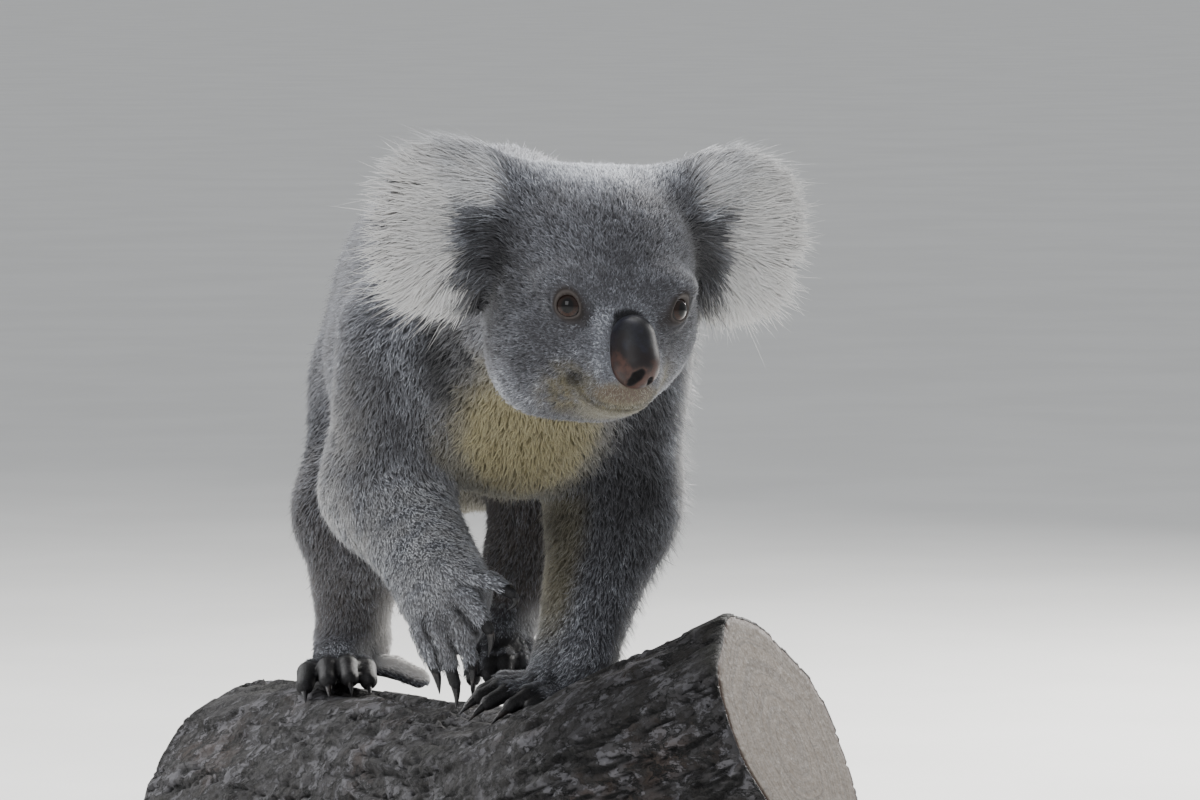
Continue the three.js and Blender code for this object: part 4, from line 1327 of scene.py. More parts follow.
def make_coat_piece(name, coat, chosen, material):
    """One piece of the coat, its tufts joined into one mesh."""
    points, faces, along, uv, which, lit = [], [], [], [], [], []
    offset = 0
    for rows in COAT_LEVELS:
        pick = np.flatnonzero(chosen & (coat.rows == rows))
        if not len(pick):
            continue
        made = tuft_points(coat, pick, rows)
        count = made.shape[1]
        one = tuft_faces(rows)
        faces.append((one[None] + (offset + count * np.arange(len(pick)))[:, None, None]).reshape(-1, 3))
        offset += count * len(pick)
        points.append(made.reshape(-1, 3))
        lit.append(tuft_normals(coat, pick, rows).reshape(-1, 3))
        levels = [0.0] + [t for t in COAT_LEVELS[rows] for _ in range(3)] + [1.0]
        across = [0.0] + [-0.5, 0.5, 0.0] * rows + [0.0]
        along.append(np.tile(levels, len(pick)))
        which.append(np.repeat(pick, count))
        uv.append(np.tile(np.stack([across, np.array(levels) - 0.5], 1) * PATCH, (len(pick), 1)))
    points, faces = np.concatenate(points), np.concatenate(faces)
    along, which, uv = np.concatenate(along), np.concatenate(which), np.concatenate(uv)
    mesh = mesh_of(name, to_frame(points), faces)
    uv += box_places(coat, chosen)[which]
    layer = mesh.uv_layers.new(name="OFBake", do_init=False)
    layer.uv.foreach_set("vector", uv[faces.ravel()].astype(np.float32).ravel())
    paint(mesh, "marks", *[mark[which] for mark in coat.marks[:4]])
    paint(mesh, "strand", along, coat.chance[which], coat.tone[which], coat.marks[4][which])
    mesh.normals_split_custom_set_from_vertices(np.concatenate(lit).astype(np.float32))
    piece = add_object(name, mesh, material)
    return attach(piece, "root")


def box_places(coat, chosen):
    """The bake map's place of each root in one piece, and zero for the others."""
    places = np.zeros((len(coat.root), 2))
    places[chosen] = box_unwrap(coat.root[chosen], coat.normal[chosen])
    return places


def coat_pieces(s):
    """Which piece of the coat each root belongs to, as a list of (name, chosen roots)."""
    groups = {
        "ear_right": s.ears[0], "ear_left": s.ears[1],
        "head": s.of("head") * (1 - s.ear), "trunk": s.of("trunk"),
    }
    for limb, kinds in (("arm", ("arm", "forearm", "hand")), ("leg", ("thigh", "shank", "foot"))):
        for side in SIDES:
            names = [r.name for r in REGIONS if r.name.split("_")[0] in kinds and side in r.name]
            groups[f"{limb}_{side}"] = s.in_region(*names)
    best = np.argmax(np.stack(list(groups.values())), 0)
    for i, name in enumerate(groups):
        own = best == i
        if name == "head":
            front = s.h[:, 1] < -26
            yield "coat_face", own & front
            yield "coat_crown", own & ~front
        elif name == "trunk":
            top = s.n[:, 2] > 0.35
            yield "coat_back", own & top
            yield "coat_flank_right", own & ~top & (s.p[:, 0] < 4)
            yield "coat_flank_left", own & ~top & (s.p[:, 0] >= 4)
        else:
            yield f"coat_{name}", own


def make_coat():
    coat = Coat(*scatter(SKIN_MESH))
    coat.marks = markings(coat.s)
    fur, ear_fur = coat_material("fur"), coat_material("ear_fur")
    for name, chosen in coat_pieces(coat.s):
        is_ear = name.startswith("coat_ear")
        make_coat_piece(name, coat, chosen, ear_fur if is_ear else fur)


# ---------- Eyes

EYE_COLOURS = {
    "pupil": paint_colour(6, 5, 6),
    "iris_dark": paint_colour(16, 9, 7),
    "iris": paint_colour(36, 21, 15),
    "iris_glow": paint_colour(54, 30, 19),
    "iris_edge": paint_colour(14, 9, 8),
    "white": paint_colour(96, 82, 76),
}


def eye_material():
    nodes = Nodes("eye")
    reach, slit, streak, low = nodes.attribute("iris")
    at = nodes.place()
    fibres = nodes.noise(at, 700, 3.0, 0.6)
    iris = nodes.mix(nodes.between(reach + fibres * 0.12, 0.28, 0.62), EYE_COLOURS["iris_dark"],
                     EYE_COLOURS["iris"])
    # Painted light: the iris's lower part is lighter, as light from above shines through the cornea onto it.
    iris = nodes.mix(low * nodes.between(reach, 0.25, 0.5), iris, EYE_COLOURS["iris_glow"])
    rays = nodes.between(streak + fibres * 0.5, 0.6, 1.1, 0.0, 0.45)
    iris = nodes.mix(rays, iris, EYE_COLOURS["iris_dark"])
    iris = nodes.mix(nodes.between(reach, 0.62, 0.74), iris, EYE_COLOURS["iris_edge"])
    colour = nodes.mix(nodes.between(reach, 0.80, 0.86), iris, EYE_COLOURS["white"])
    colour = nodes.mix(nodes.between(slit, 1.08, 0.92), colour, EYE_COLOURS["pupil"])
    wet = nodes.bump(nodes.noise(at, 90, 1.0), 0.05, 0.0005)
    return nodes.surface(Base_Color=colour, Roughness=nodes.between(fibres, 0.2, 0.8, 0.03, 0.07),
                         Normal=wet, Specular_IOR_Level=0.35)


CORNEA_RISE = 0.55  # how far the cornea bulges past the ball


def make_eye(side, material):
    """A ball with a bulging cornea, turned to look along the gaze."""
    node = f"eye_{side}"
    rings, around = 40, 56
    polar = np.linspace(0, math.pi, rings + 1)[1:-1]
    turn = np.arange(around) / around * 2 * math.pi
    angle, spin = np.meshgrid(polar, turn, indexing="ij")
    reach = EYE_RADIUS + CORNEA_RISE * smoothstep(0.62, 0.0, angle)
    local = np.stack([np.sin(angle) * np.cos(spin), np.sin(angle) * np.sin(spin), np.cos(angle)], -1)
    local = (local * reach[..., None]).reshape(-1, 3)
    local = np.concatenate([local, [[0, 0, EYE_RADIUS + CORNEA_RISE], [0, 0, -EYE_RADIUS]]])
    front, back = len(local) - 2, len(local) - 1
    last = (rings - 2) * around
    faces = []
    for s in range(around):
        t = (s + 1) % around
        faces.append((front, s, t))
        for r in range(rings - 2):
            faces.append((r * around + s, (r + 1) * around + s, (r + 1) * around + t, r * around + t))
        faces.append((last + s, back, last + t))
    h = local @ eye_frame(side) + EYE_AT[side]
    mesh = bpy.data.meshes.new(node)
    mesh.from_pydata(to_frame(from_head(h)).tolist(), [], faces)
    mesh.shade_smooth()
    q = local / EYE_RADIUS
    from_axis = np.arctan2(length(q[:, :2]), q[:, 2])
    slit = length(q[:, :2] / vec(0.34, 0.43)) + (q[:, 2] < 0) * 9
    streak = 0.5 + 0.5 * np.sin(23 * np.arctan2(q[:, 1], q[:, 0]) + 2 * np.sin(7 * q[:, 0]))
    # The fourth channel marks the iris's lower part, which the eye's material paints lighter as lit from
    # above.
    paint(mesh, "iris", from_axis, slit, streak, smoothstep(0.1, -0.55, q[:, 1]))
    eye = add_object(f"{node}_ball", mesh, material)
    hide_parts(node)
    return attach(eye, "root")


# ---------- Nose

# The two nostrils and a small pit beside them, each a chain of places on the nose's front with radii.
NOSTRILS = [
    [(on_front(NOSE_FORM, x, z), radius) for x, z, radius in joints]
    for joints in (
        ((1.0, -29.2, 1.8), (-0.8, -31.5, 2.5), (-2.3, -34.6, 1.8), (-2.8, -37, 1.0)),
        ((7.6, -33, 1.3), (8.8, -35.5, 1.5), (9.8, -37.5, 0.8)),
        ((-7.6, -35.2, 0.5), (-7.4, -35.8, 0.5)),
    )
]


def nose_field(p):
    h = in_head(p)
    d = NOSE_FORM(h) - 0.3
    for joints in NOSTRILS:
        d = cut(1.4, d, chain(1.0, joints)(h))
    return d


def nose_material():
    nodes = Nodes("nose")
    height, nostril, mottle, _ = nodes.attribute("nose_marks")
    at = nodes.place()
    pebbles = nodes.cells(at, 1250, "DISTANCE_TO_EDGE")
    broad = nodes.noise(at, 160, 4.0, 0.6)
    fine = nodes.noise(at, 1500, 2.0, 0.5)
    # Toward its lighter end the nose top's colour is bluish: partly the leather's own grey, partly a painted
    # reflection of the sky.
    slate_and_sky = nodes.mix(nodes.between(broad, 0.35, 0.7), paint_colour(13, 13, 18), paint_colour(31, 31, 42))
    flesh = nodes.mix(nodes.between(broad, 0.38, 0.62), paint_colour(74, 49, 41), paint_colour(46, 31, 28))
    rise = height + broad * 0.3 + mottle * 0.05 - 0.15
    colour = nodes.mix(nodes.between(rise, 0.24, 0.40), flesh, paint_colour(25, 17, 18))
    colour = nodes.mix(nodes.between(rise, 0.40, 0.68), colour, slate_and_sky)
    colour = nodes.mix(nodes.between(nostril, 0.0, 1.0), paint_colour(10, 7, 8), colour)
    relief = (nodes.between(pebbles, 0.0, 0.16) * 0.6 + fine * 0.4) * nodes.between(nostril, 0.3, 1.0)
    bump = nodes.bump(relief, 0.25, 0.00025)
    rough = 0.9 - nostril * nodes.between(broad, 0.3, 0.7, 0.36, 0.52)
    return nodes.surface(Base_Color=colour, Roughness=rough, Normal=bump, Specular_IOR_Level=0.38,
                         Coat_Weight=nostril * 0.08, Coat_Roughness=0.3)


def make_nose():
    centre = from_head(vec(0, -75, -22))
    points, faces = surface_of(nose_field, centre - 34, centre + 34, 0.85, rounds=2)
    mesh = mesh_of("nose_skin", to_frame(points), faces)
    h = in_head(points)
    height = np.clip((h[:, 2] + 42) / 48 - 0.12 * smoothstep(-4, -12, h[:, 0])
                     - 0.14 * smoothstep(8, 14, h[:, 0]), 0, 1)
    nostril = np.minimum.reduce([chain(1.0, joints)(h) for joints in NOSTRILS])
    paint(mesh, "nose_marks", height, smoothstep(-0.2, 1.5, nostril), wave_noise(points, 5, 71))
    nose = add_object("nose_leather", mesh, nose_material())
    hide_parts("nose")
    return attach(nose, "root")


# ---------- Claws


def claw_material():
    nodes = Nodes("claw")
    at = nodes.place()
    grain = nodes.noise(nodes.place((1, 1, 0.35)), 700, 4.0, 0.6)
    scratches = nodes.noise(nodes.place((1, 0.3, 1)), 2400, 2.0, 0.7)
    worn = nodes.between(nodes.noise(at, 180, 3.0), 0.5, 0.75)
    colour = nodes.mix(worn, paint_colour(20, 19, 22), paint_colour(58, 52, 50))
    colour = nodes.mix(nodes.between(grain, 0.55, 0.8, 0.0, 0.5), colour, paint_colour(84, 76, 70))
    bump = nodes.bump(grain * 0.6 + scratches * 0.4, 0.35, 0.0003)
    return nodes.surface(Base_Color=colour, Roughness=nodes.between(scratches, 0.3, 0.7, 0.22, 0.42),
                         Normal=bump, Specular_IOR_Level=0.55)


CLAW_SIZES = {"hand": (15, 3.5), "foot": (14, 3.5)}  # reach and root depth of the claws
CLAW_RINGS, CLAW_SIDES = 18, 14


def make_claw(node, material):
    """A claw on its digit's end: deep, narrow, thick at its root and curling to a point."""
    paw, number = node.removeprefix("claw_").rsplit("_", 1)
    _, bend, tip = PAWS[paw]["digits"][int(number) - 1]
    reach, root = CLAW_SIZES[paw.split("_")[0]]
    out = unit(tip - bend)
    curl = unit(PAWS[paw]["curls"][int(number) - 1])
    start, middle = tip - 3 * out, tip + out * reach * 0.42
    end = middle + curl * reach * 0.62
    t = np.linspace(0, 1, CLAW_RINGS)[:, None]
    line = (1 - t) ** 2 * start + 2 * t * (1 - t) * (middle + 0.2 * (middle - (start + end) / 2)) + t**2 * end
    along = unit(np.gradient(line, axis=0))
    side = unit(np.cross(out, curl))
    under = np.cross(along, side)
    thick = root * (1 - 0.93 * t**1.25)
    turn = np.arange(CLAW_SIDES) / CLAW_SIDES * 2 * math.pi
    narrow = 0.72 - 0.16 * np.cos(turn)[None]  # a ridge along its back, a groove under it
    rings = (line[:, None] + side * (thick * narrow * np.sin(turn))[:, :, None]
             + under[:, None] * (thick * np.cos(turn)[None])[:, :, None])
    points = np.concatenate([rings.reshape(-1, 3), [start - out], [end + 0.3 * along[-1]]])
    first, last = len(points) - 2, len(points) - 1
    s = np.arange(CLAW_SIDES)
    n = (s + 1) % CLAW_SIDES
    top = (CLAW_RINGS - 1) * CLAW_SIDES
    faces = [np.stack([np.full(CLAW_SIDES, first), s, n], 1),
             np.stack([top + n, top + s, np.full(CLAW_SIDES, last)], 1)]
    for low in range(0, top, CLAW_SIDES):
        high = low + CLAW_SIDES
        faces += [np.stack([low + s, high + s, high + n], 1), np.stack([low + s, high + n, low + n], 1)]
    mesh = mesh_of(f"{node}_horn", to_frame(points), np.concatenate(faces))
    claw = add_object(f"{node}_horn", mesh, material)
    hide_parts(node)
    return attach(claw, "root")


# ---------- Bough

BOUGH_RADIUS = 88
BARK_DEPTH = 3  # how far the tube lies inside the bough's radius, to leave room for its bark
BOUGH_TAPER = 4  # how much smaller its radius is at the front end than at the rear
BARK_STRETCH = 2.2  # how many times longer the bark's pattern is along the bough than around it
ONE_TURN = 6.2832  # a full turn, in radians
BOUGH_POINTS = [vec(-112, 268, -110), vec(-72, 188, -100), vec(-30, 84, -98),
                vec(14, -22, -95), vec(76, -90, -56), vec(144, -128, -20)]


def smooth_curve(points, per_span=40):
    """A smooth curve through points, with knots spaced by the square root of their distances."""
    ends = [2 * points[0] - points[1], *points, 2 * points[-1] - points[-2]]
    curve = []
    for p0, p1, p2, p3 in zip(ends, ends[1:], ends[2:], ends[3:]):
        t0 = 0.0
        t1 = t0 + np.linalg.norm(p1 - p0) ** 0.5
        t2 = t1 + np.linalg.norm(p2 - p1) ** 0.5
        t3 = t2 + np.linalg.norm(p3 - p2) ** 0.5
        t = np.linspace(t1, t2, per_span, endpoint=False)[:, None]
        a1 = ((t1 - t) * p0 + (t - t0) * p1) / (t1 - t0)
        a2 = ((t2 - t) * p1 + (t - t1) * p2) / (t2 - t1)
        a3 = ((t3 - t) * p2 + (t - t2) * p3) / (t3 - t2)
        b1 = ((t2 - t) * a1 + (t - t0) * a2) / (t2 - t0)
        b2 = ((t3 - t) * a2 + (t - t1) * a3) / (t3 - t1)
        curve.append(((t2 - t) * b1 + (t - t1) * b2) / (t2 - t1))
    return np.concatenate([*curve, points[-1][None]])


def even_steps(curve, count):
    """The curve at evenly spaced distances, and those distances."""
    run = np.concatenate([[0], np.cumsum(length(np.diff(curve, axis=0)))])
    at = np.linspace(0, run[-1], count)
    return np.stack([np.interp(at, run, curve[:, i]) for i in range(3)], 1), at


BOUGH_LINE, BOUGH_RUN = even_steps(smooth_curve(BOUGH_POINTS), 300)


def bough_relief(along, turn):
    """Broad ribs and hollows that wind slowly along the bough."""
    ribs = 2.2 * np.sin(5 * turn + 6 * along) + 1.3 * np.sin(9 * turn - 11 * along)
    return ribs + 2.4 * np.sin(7 * along + 2 * turn)


def bough_tube(sides=290, cap_rings=12):
    """The bough without its bark: points, side faces, cap faces, and each point's run, turn and share of
    the way out from the pith."""
    tangent = unit(np.gradient(BOUGH_LINE, axis=0))
    level = unit(np.cross(tangent, vec(0, 0, 1)))
    upward = np.cross(level, tangent)
    turn = np.arange(sides) / sides * 2 * math.pi
    along = (BOUGH_RUN / BOUGH_RUN[-1])[:, None]
    radius = BOUGH_RADIUS - BARK_DEPTH - BOUGH_TAPER * along + bough_relief(along, turn[None])
    out = level[:, None] * np.cos(turn)[None, :, None] + upward[:, None] * np.sin(turn)[None, :, None]
    last = len(BOUGH_LINE) - 1
    stations = [(0, k) for k in range(1, cap_rings)]
    stations += [(i, cap_rings) for i in range(last + 1)]
    stations += [(last, k) for k in range(cap_rings - 1, 0, -1)]
    rings = [BOUGH_LINE[i] + out[i] * (radius[i] * k / cap_rings)[:, None] for i, k in stations]
    points = np.concatenate([*rings, BOUGH_LINE[:1], BOUGH_LINE[-1:]])
    run = np.concatenate([np.repeat([BOUGH_RUN[i] for i, _ in stations], sides), BOUGH_RUN[[0, -1]]])
    pith = np.concatenate([np.repeat([k / cap_rings for _, k in stations], sides), [0, 0]])
    spin = np.concatenate([np.tile(turn, len(stations)), [0, 0]])
    s = np.arange(sides)
    t = (s + 1) % sides
    lows = sides * np.arange(len(stations) - 1)
    body = np.concatenate([np.stack([low + s, low + t, low + sides + t, low + sides + s], 1) for low in lows])
    first, end = len(stations) * sides, len(stations) * sides + 1
    top = lows[-1] + sides
    caps = [(first, b, a) for a, b in zip(s, t)] + [(end, top + a, top + b) for a, b in zip(s, t)]
    return points, body, caps, run, spin, pith


BARK_SIZES = {
    "Flake size": 30.0,
    "Flake height": 2.2,
    "Fissure depth": 3.2,
    "Swell height": 5.0,
    "Grain height": 0.8,
}


def bark_tree():
    """Geometry nodes that raise ragged flakes of bark in two layers, between fissures along the bough."""
    tree = bpy.data.node_groups.new("bark_relief", "GeometryNodeTree")
    face = tree.interface
    face.new_socket("Geometry", in_out="INPUT", socket_type="NodeSocketGeometry")
    for name, value in BARK_SIZES.items():
        face.new_socket(name, in_out="INPUT", socket_type="NodeSocketFloat").default_value = value
    face.new_socket("Material", in_out="INPUT", socket_type="NodeSocketMaterial")
    face.new_socket("Geometry", in_out="OUTPUT", socket_type="NodeSocketGeometry")

    def add(kind, settings=None, inputs=None, output=0):
        node = tree.nodes.new(kind)
        for key, value in (settings or {}).items():
            setattr(node, key, value)
        for key, value in (inputs or {}).items():
            if isinstance(value, bpy.types.NodeSocket):
                tree.links.new(value, node.inputs[key])
            else:
                node.inputs[key].default_value = value
        return node.outputs[output]

    def maths(operation, a, b=0.0):
        return add("ShaderNodeMath", {"operation": operation}, {0: a, 1: b})

    def between(value, low, high):
        return add("ShaderNodeMapRange", {"interpolation_type": "SMOOTHSTEP"}, {0: value, 1: low, 2: high})

    def noise(at, scale, detail, roughness=0.55, output="Fac"):
        inputs = {"Vector": at, "Scale": scale, "Detail": detail, "Roughness": roughness}
        return add("ShaderNodeTexNoise", {}, inputs, output)

    def stretched(at, share):
        return add("ShaderNodeVectorMath", {"operation": "MULTIPLY"}, {0: at, 1: (1.0, 1.0, share)})

    source = tree.nodes.new("NodeGroupInput").outputs
    at = add("GeometryNodeInputNamedAttribute", {"data_type": "FLOAT_VECTOR"}, {"Name": "bark_at"})
    mask = add("GeometryNodeInputNamedAttribute", {"data_type": "FLOAT"}, {"Name": "bark_share"})
    warp = noise(at, 0.05, 3.0, output="Color")
    bent = add("ShaderNodeVectorMath", {"operation": "MULTIPLY_ADD"}, {0: warp, 1: (16, 16, 16), 2: at})
    scale = maths("DIVIDE", 1.0, source["Flake size"])
    over = between(noise(stretched(bent, 0.55), scale, 3.0, 0.60), 0.50, 0.53)
    under_at = add("ShaderNodeVectorMath", {"operation": "ADD"}, {0: bent, 1: (137, 59, 31)})
    under = between(noise(stretched(under_at, 0.6), maths("MULTIPLY", scale, 2.2), 3.0, 0.58), 0.50, 0.54)
    crease = maths("ABSOLUTE", maths("SUBTRACT", noise(stretched(bent, 0.28), 0.036, 4.0), 0.5))
    sound = between(crease, 0.0, 0.022)
    flakes = maths("SUBTRACT", maths("ADD", over, maths("MULTIPLY", under, 0.6)), 0.8)
    flakes = maths("MULTIPLY", flakes, source["Flake height"])
    fissures = maths("MULTIPLY", maths("SUBTRACT", sound, 0.9), source["Fissure depth"])
    grain = maths("SUBTRACT", noise(stretched(at, 0.22), 0.2, 5.0, 0.6), 0.5)
    grain = maths("MULTIPLY", grain, source["Grain height"])
    swell = maths("SUBTRACT", noise(stretched(bent, 0.5), 0.018, 3.0, 0.5), 0.5)
    swell = maths("MULTIPLY", swell, source["Swell height"])
    height = maths("ADD", maths("ADD", flakes, fissures), maths("ADD", grain, swell))
    height = maths("MULTIPLY", maths("MULTIPLY", height, mask), MM)
    normal = add("GeometryNodeInputNormal")
    move = add("ShaderNodeVectorMath", {"operation": "SCALE"}, {0: normal, "Scale": height})
    stored = add("GeometryNodeStoreNamedAttribute", {"data_type": "FLOAT_COLOR"},
                 {"Geometry": source["Geometry"], "Name": "sound_bark", "Value": sound})
    moved = add("GeometryNodeSetPosition", {}, {"Geometry": stored, "Offset": move})
    plain = add("GeometryNodeRealizeInstances", {}, {"Geometry": moved})
    finished = add("GeometryNodeSetMaterial", {}, {"Geometry": plain, "Material": source["Material"]})
    tree.links.new(finished, tree.nodes.new("NodeGroupOutput").inputs[0])
    return tree


def apply_tree(piece, tree, values):
    """Runs a geometry tree on a piece and keeps the result as its plain mesh."""
    modifier = piece.modifiers.new(tree.name, "NODES")
    modifier.node_group = tree
    for item in tree.interface.items_tree:
        if item.in_out == "INPUT" and item.name in values:
            modifier[item.identifier] = values[item.name]
    evaluated = piece.evaluated_get(bpy.context.evaluated_depsgraph_get())
    made = bpy.data.meshes.new_from_object(evaluated)
    piece.modifiers.clear()
    piece.data = made
    return piece


def bark_material():
    nodes = Nodes("bark")
    pith, spin, _, _ = nodes.attribute("log")
    sound = nodes.attribute("sound_bark")[0]
    at = nodes.place()
    broad = nodes.noise(at, 14, 4.0, 0.6)
    fine = nodes.noise(at, 480, 5.0, 0.7)
    grain = nodes.noise(nodes.place((0.4, 1, 1)), 150, 5.0, 0.65)
    plates = nodes.between(nodes.noise(nodes.place((0.55, 1, 1)), 62, 8.0, 0.64), 0.48, 0.505)
    chips = nodes.between(nodes.noise(nodes.place((0.6, 1, 1)), 150, 8.0, 0.68), 0.49, 0.52)
    lip = nodes.noise(nodes.place((0.35, 1, 1)), 48, 7.0, 0.62) - 0.5
    cleft = nodes.between(lip.math("ABSOLUTE", lip, 0), 0.004, 0.022)
    colour = nodes.mix(grain, paint_colour(11, 10, 10), paint_colour(36, 32, 30))
    chip = nodes.mix(grain, paint_colour(30, 29, 30), paint_colour(62, 60, 62))
    colour = nodes.mix(chips * 0.75, colour, chip)
    pale = nodes.between(broad + grain * 0.5, 0.55, 0.85)
    plate = nodes.mix(pale, paint_colour(40, 38, 39), paint_colour(110, 109, 114))
    plate = nodes.mix(grain * 0.5, plate, paint_colour(40, 37, 36))
    colour = nodes.mix(plates * (0.30 + chips * 0.60), colour, plate)
    rusty = nodes.between(broad + grain * 0.3, 0.70, 0.88, 0.0, 0.40)
    colour = nodes.mix(rusty, colour, paint_colour(74, 56, 45))
    colour = nodes.mix(nodes.between(broad, 0.42, 0.30, 0.0, 0.40), colour, paint_colour(38, 42, 28))
    colour = nodes.mix(cleft * nodes.between(sound + fine * 0.3, 0.2, 1.0), paint_colour(9, 8, 8), colour)
    ring_at = nodes.add("ShaderNodeCombineXYZ", {}, {0: pith * 9.0, 1: spin * 0.4})
    rings = nodes.noise(ring_at, 3.2, 2.0)
    saw = nodes.noise(nodes.place((1, 0.05, 1)), 260, 3.0, 0.6)
    wood = nodes.mix(nodes.between(rings, 0.42, 0.6), paint_colour(92, 81, 69), paint_colour(74, 64, 54))
    check_at = nodes.add("ShaderNodeCombineXYZ", {}, {0: spin * 26.0, 1: pith * 0.9})
    checks = nodes.noise(check_at, 3.0, 3.0)
    wood = nodes.mix(nodes.between(checks, 0.66, 0.70, 0.0, 0.8), wood, paint_colour(46, 36, 30))
    wood = nodes.mix(nodes.between(pith, 0.93, 0.965), wood, paint_colour(62, 46, 36))
    cut_end = nodes.between(pith, 0.985, 0.975)
    colour = nodes.mix(cut_end, colour, wood)
    bark_height = fine * 0.4 + grain * 0.4 + plates * 0.5 + chips * 0.35 + cleft * 0.5
    bump = nodes.bump(nodes.mix(cut_end, bark_height, saw * 0.3), 0.9, 0.0018)
    rough = nodes.between(fine + grain * 0.4, 0.4, 1.0, 0.58, 0.92)
    return nodes.surface(Base_Color=colour, Roughness=rough, Normal=bump)


def make_bough():
    points, body, caps, run, spin, pith = bough_tube()
    mesh = bpy.data.meshes.new("bough")
    mesh.from_pydata(to_frame(points).tolist(), [], body.tolist() + [tuple(map(int, c)) for c in caps])
    bm = bmesh.new()
    bm.from_mesh(mesh)
    bmesh.ops.recalc_face_normals(bm, faces=bm.faces)
    bm.to_mesh(mesh)
    bm.free()
    mesh.shade_smooth()
    paint(mesh, "log", pith, spin / ONE_TURN)
    place = np.stack([BOUGH_RADIUS * np.cos(spin), BOUGH_RADIUS * np.sin(spin), run / BARK_STRETCH], 1)
    mesh.attributes.new("bark_at", "FLOAT_VECTOR", "POINT").data.foreach_set(
        "vector", place.astype(np.float32).ravel())
    ends = smoothstep(0, 3, np.minimum(run, BOUGH_RUN[-1] - run))
    share = np.where(pith > 0.999, 0.35 + 0.65 * ends, 0.0)
    mesh.attributes.new("bark_share", "FLOAT", "POINT").data.foreach_set("value", share.astype(np.float32))
    material = bark_material()
    bough = apply_tree(add_object("bough", mesh), bark_tree(), {"Material": material})
    bough.data.shade_smooth()
    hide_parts("stand_perch")
    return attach(bough, "root")


# ---------- Stand

BASE_TURN = math.radians(34)  # the base's long way, seen from above
# A collar's outline: how far it is past the rod's side and above the rod's foot, in metres.
COLLAR_OUTLINE = ((0, 0), (0.010, 0), (0.011, 0.001), (0.011, 0.003), (0.0095, 0.0045), (0.004, 0.0055),
                  (0.003, 0.0115), (0.002, 0.0125), (0, 0.0125))


def base_material():
    nodes = Nodes("dark_wood")
    turn = (0, 0, -BASE_TURN)
    grain = nodes.noise(nodes.place((9, 0.8, 9), turn), 22, 6.0, 0.6, 1.2)
    pores = nodes.noise(nodes.place((60, 3, 60), turn), 16, 3.0, 0.7)
    broad = nodes.noise(nodes.place((1, 1, 1), turn), 6, 3.0)
    colour = nodes.ramp(grain, [(0.30, paint_colour(34, 24, 19)), (0.50, paint_colour(58, 41, 31)),
                                (0.68, paint_colour(80, 57, 42))])
    colour = nodes.mix(nodes.between(pores, 0.55, 0.75, 0.0, 0.6), colour, paint_colour(22, 15, 12))
    bump = nodes.bump(pores * 0.5 + grain * 0.5, 0.25, 0.0006)
    rough = nodes.between(broad + pores * 0.2, 0.3, 0.8, 0.32, 0.5)
    return nodes.surface(Base_Color=colour, Roughness=rough, Normal=bump, Coat_Weight=0.3, Coat_Roughness=0.2)


def steel_material():
    nodes = Nodes("brushed_steel")
    lines = nodes.noise(nodes.place((1, 1, 40)), 60, 3.0, 0.6)
    smudge = nodes.noise(nodes.place(), 30, 4.0)
    dulled = nodes.between(smudge, 0.4, 0.7)
    colour = nodes.mix(dulled, paint_colour(176, 178, 180), paint_colour(150, 151, 153))
    bump = nodes.bump(lines, 0.12, 0.0003)
    rough = nodes.between(lines * 0.7 + smudge * 0.3, 0.3, 0.7, 0.26, 0.44)
    return nodes.surface(Base_Color=colour, Roughness=rough, Normal=bump, Metallic=1.0)


def make_collar(node, material):
    """A turned collar where a rod enters the base."""
    low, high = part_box(node)
    x, y, z = (low.x + high.x) / 2, (low.y + high.y) / 2, low.z
    radius = (high.x - low.x) / 2
    around, rows = 48, len(COLLAR_OUTLINE)
    turns = [2 * math.pi * s / around for s in range(around)]
    points, faces = [], []
    for past, up in COLLAR_OUTLINE:
        r = radius + past
        points += [(x + r * math.cos(turn), y + r * math.sin(turn), z + up) for turn in turns]
    for k in range(rows):
        for s in range(around):
            t, m = (s + 1) % around, (k + 1) % rows
            faces.append((k * around + s, k * around + t, m * around + t, m * around + s))
    mesh = bpy.data.meshes.new(f"{node}_collar")
    mesh.from_pydata(points, [], faces)
    collar = add_object(f"{node}_collar", mesh, material)
    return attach(collar, "root")


def make_stand():
    steel = steel_material()
    for node in ("stand_rod_1", "stand_rod_2"):
        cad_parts[node].data.materials.clear()
        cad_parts[node].data.materials.append(steel)
        make_collar(node, steel)
    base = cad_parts["stand_base"].data
    base.materials.clear()
    base.materials.append(base_material())


# ---------- Floor, light and camera


def floor_material():
    nodes = Nodes("floor")
    dust = nodes.noise(nodes.place(), 3, 3.0)
    dusty = nodes.between(dust, 0.3, 0.7)
    colour = nodes.mix(dusty, paint_colour(230, 230, 228), paint_colour(236, 236, 234))
    return nodes.surface(Base_Color=colour, Roughness=0.85)


FLOOR_REACH = 90  # metres each way, so that its edge is never seen


def make_floor():
    corners = [(x * FLOOR_REACH, y * FLOOR_REACH, 0) for x, y in ((-1, -1), (1, -1), (1, 1), (-1, 1))]
    mesh = bpy.data.meshes.new("floor")
    mesh.from_pydata(corners, [], [(0, 1, 2, 3)])
    add_object("floor", mesh, floor_material())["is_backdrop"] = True


def add_lamp(name, at, aim, size, watts, colour=(1, 1, 1)):
    lamp = bpy.data.lights.new(name, "AREA")
    lamp.shape, lamp.size, lamp.size_y = "RECTANGLE", size[0], size[1]
    lamp.energy, lamp.color = watts, colour
    holder = bpy.data.objects.new(name, lamp)
    bpy.context.scene.collection.objects.link(holder)
    holder.location = at
    holder.rotation_euler = (Vector(aim) - Vector(at)).to_track_quat("-Z", "Y").to_euler()


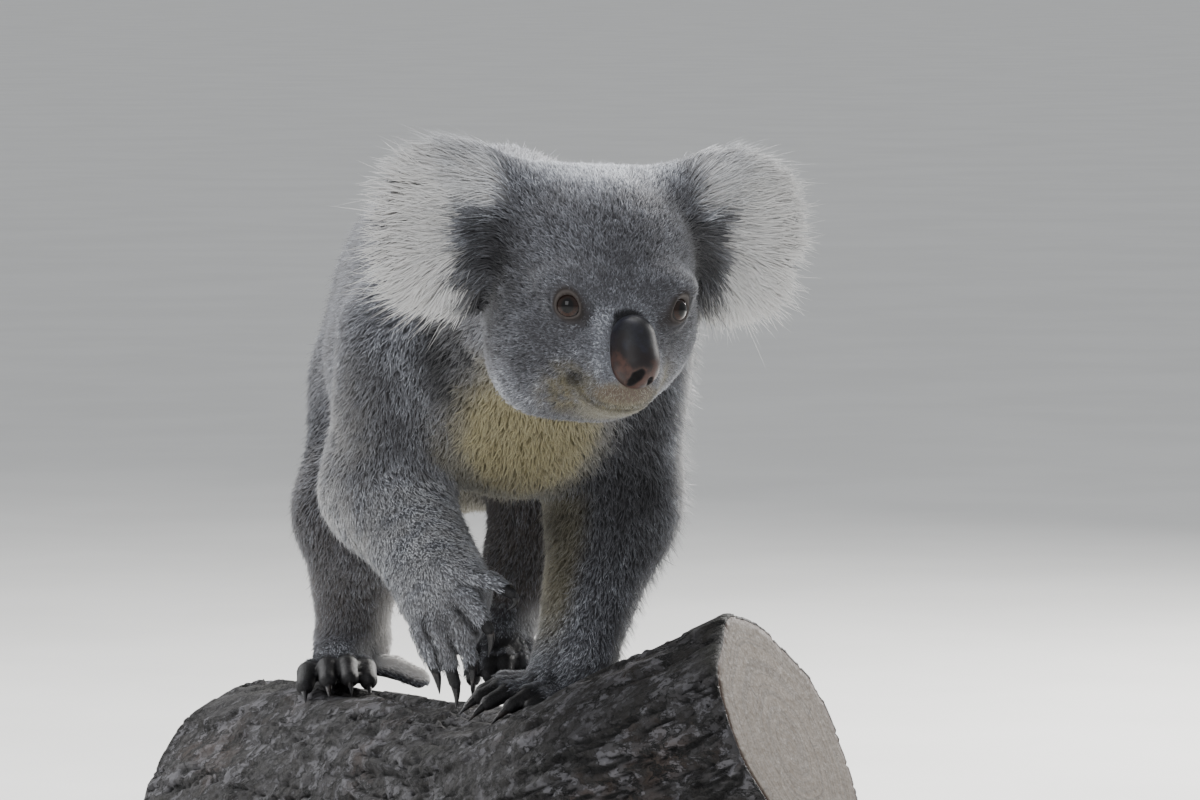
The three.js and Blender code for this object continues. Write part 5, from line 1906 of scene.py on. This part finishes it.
def make_light():
    world = bpy.data.worlds.new("studio")
    world.use_nodes = True
    sky = world.node_tree.nodes["Background"].inputs
    sky["Color"].default_value = (0.95, 0.97, 1.0, 1)
    sky["Strength"].default_value = 0.56
    bpy.context.scene.world = world
    middle = (0, 0, 0.36)  # where all lamps point
    add_lamp("fill", (-1.6, -2.6, 1.9), middle, (1.8, 1.8), 30, (0.97, 0.98, 1.0))
    add_lamp("rim_left", (2.0, 1.9, 1.7), middle, (0.8, 1.4), 170, (1.0, 0.98, 0.95))
    add_lamp("rim_right", (-2.0, 1.6, 1.9), middle, (0.8, 1.2), 70)
    add_lamp("top", (0.2, 0.6, 2.6), middle, (1.4, 1.4), 30)


VIEW_TURN, VIEW_RISE = math.radians(-9), math.radians(4)
VIEW_DISTANCE = 4.0  # from the head, along the line of sight
HEAD_OFF_AXIS = (-0.0067, 0.056)  # the head's place beside and above the middle of the view there
LENS, SENSOR = 214.29, 36.0  # focal length and sensor width, in millimetres


def make_camera():
    """A long lens from a little above the head's level and a little to the animal's right."""
    back = vec(math.sin(VIEW_TURN) * math.cos(VIEW_RISE), -math.cos(VIEW_TURN) * math.cos(VIEW_RISE),
               math.sin(VIEW_RISE))
    right = vec(math.cos(VIEW_TURN), math.sin(VIEW_TURN), 0)
    up = np.cross(back, right)
    at = to_frame(HEAD_AT) + back * VIEW_DISTANCE - right * HEAD_OFF_AXIS[0] - up * HEAD_OFF_AXIS[1]
    data = bpy.data.cameras.new("camera")
    data.lens, data.sensor_width = LENS, SENSOR
    data.clip_start, data.clip_end = 0.1, 300
    camera = bpy.data.objects.new("camera", data)
    bpy.context.scene.collection.objects.link(camera)
    camera.location = Vector(at)
    camera.rotation_euler = (-Vector(back)).to_track_quat("-Z", "Y").to_euler()
    bpy.context.scene.camera = camera


make_camera()
make_light()
make_floor()
make_skin()
make_coat()
eye_look = eye_material()
for side_name in SIDES:
    make_eye(side_name, eye_look)
make_nose()
claw_look = claw_material()
for node_name in [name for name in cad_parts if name.startswith("claw_")]:
    make_claw(node_name, claw_look)
make_bough()
make_stand()

boxes = {"cad": CAD_BOX, "visual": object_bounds()}
{name: [list(corner) for corner in box] for name, box in boxes.items()}
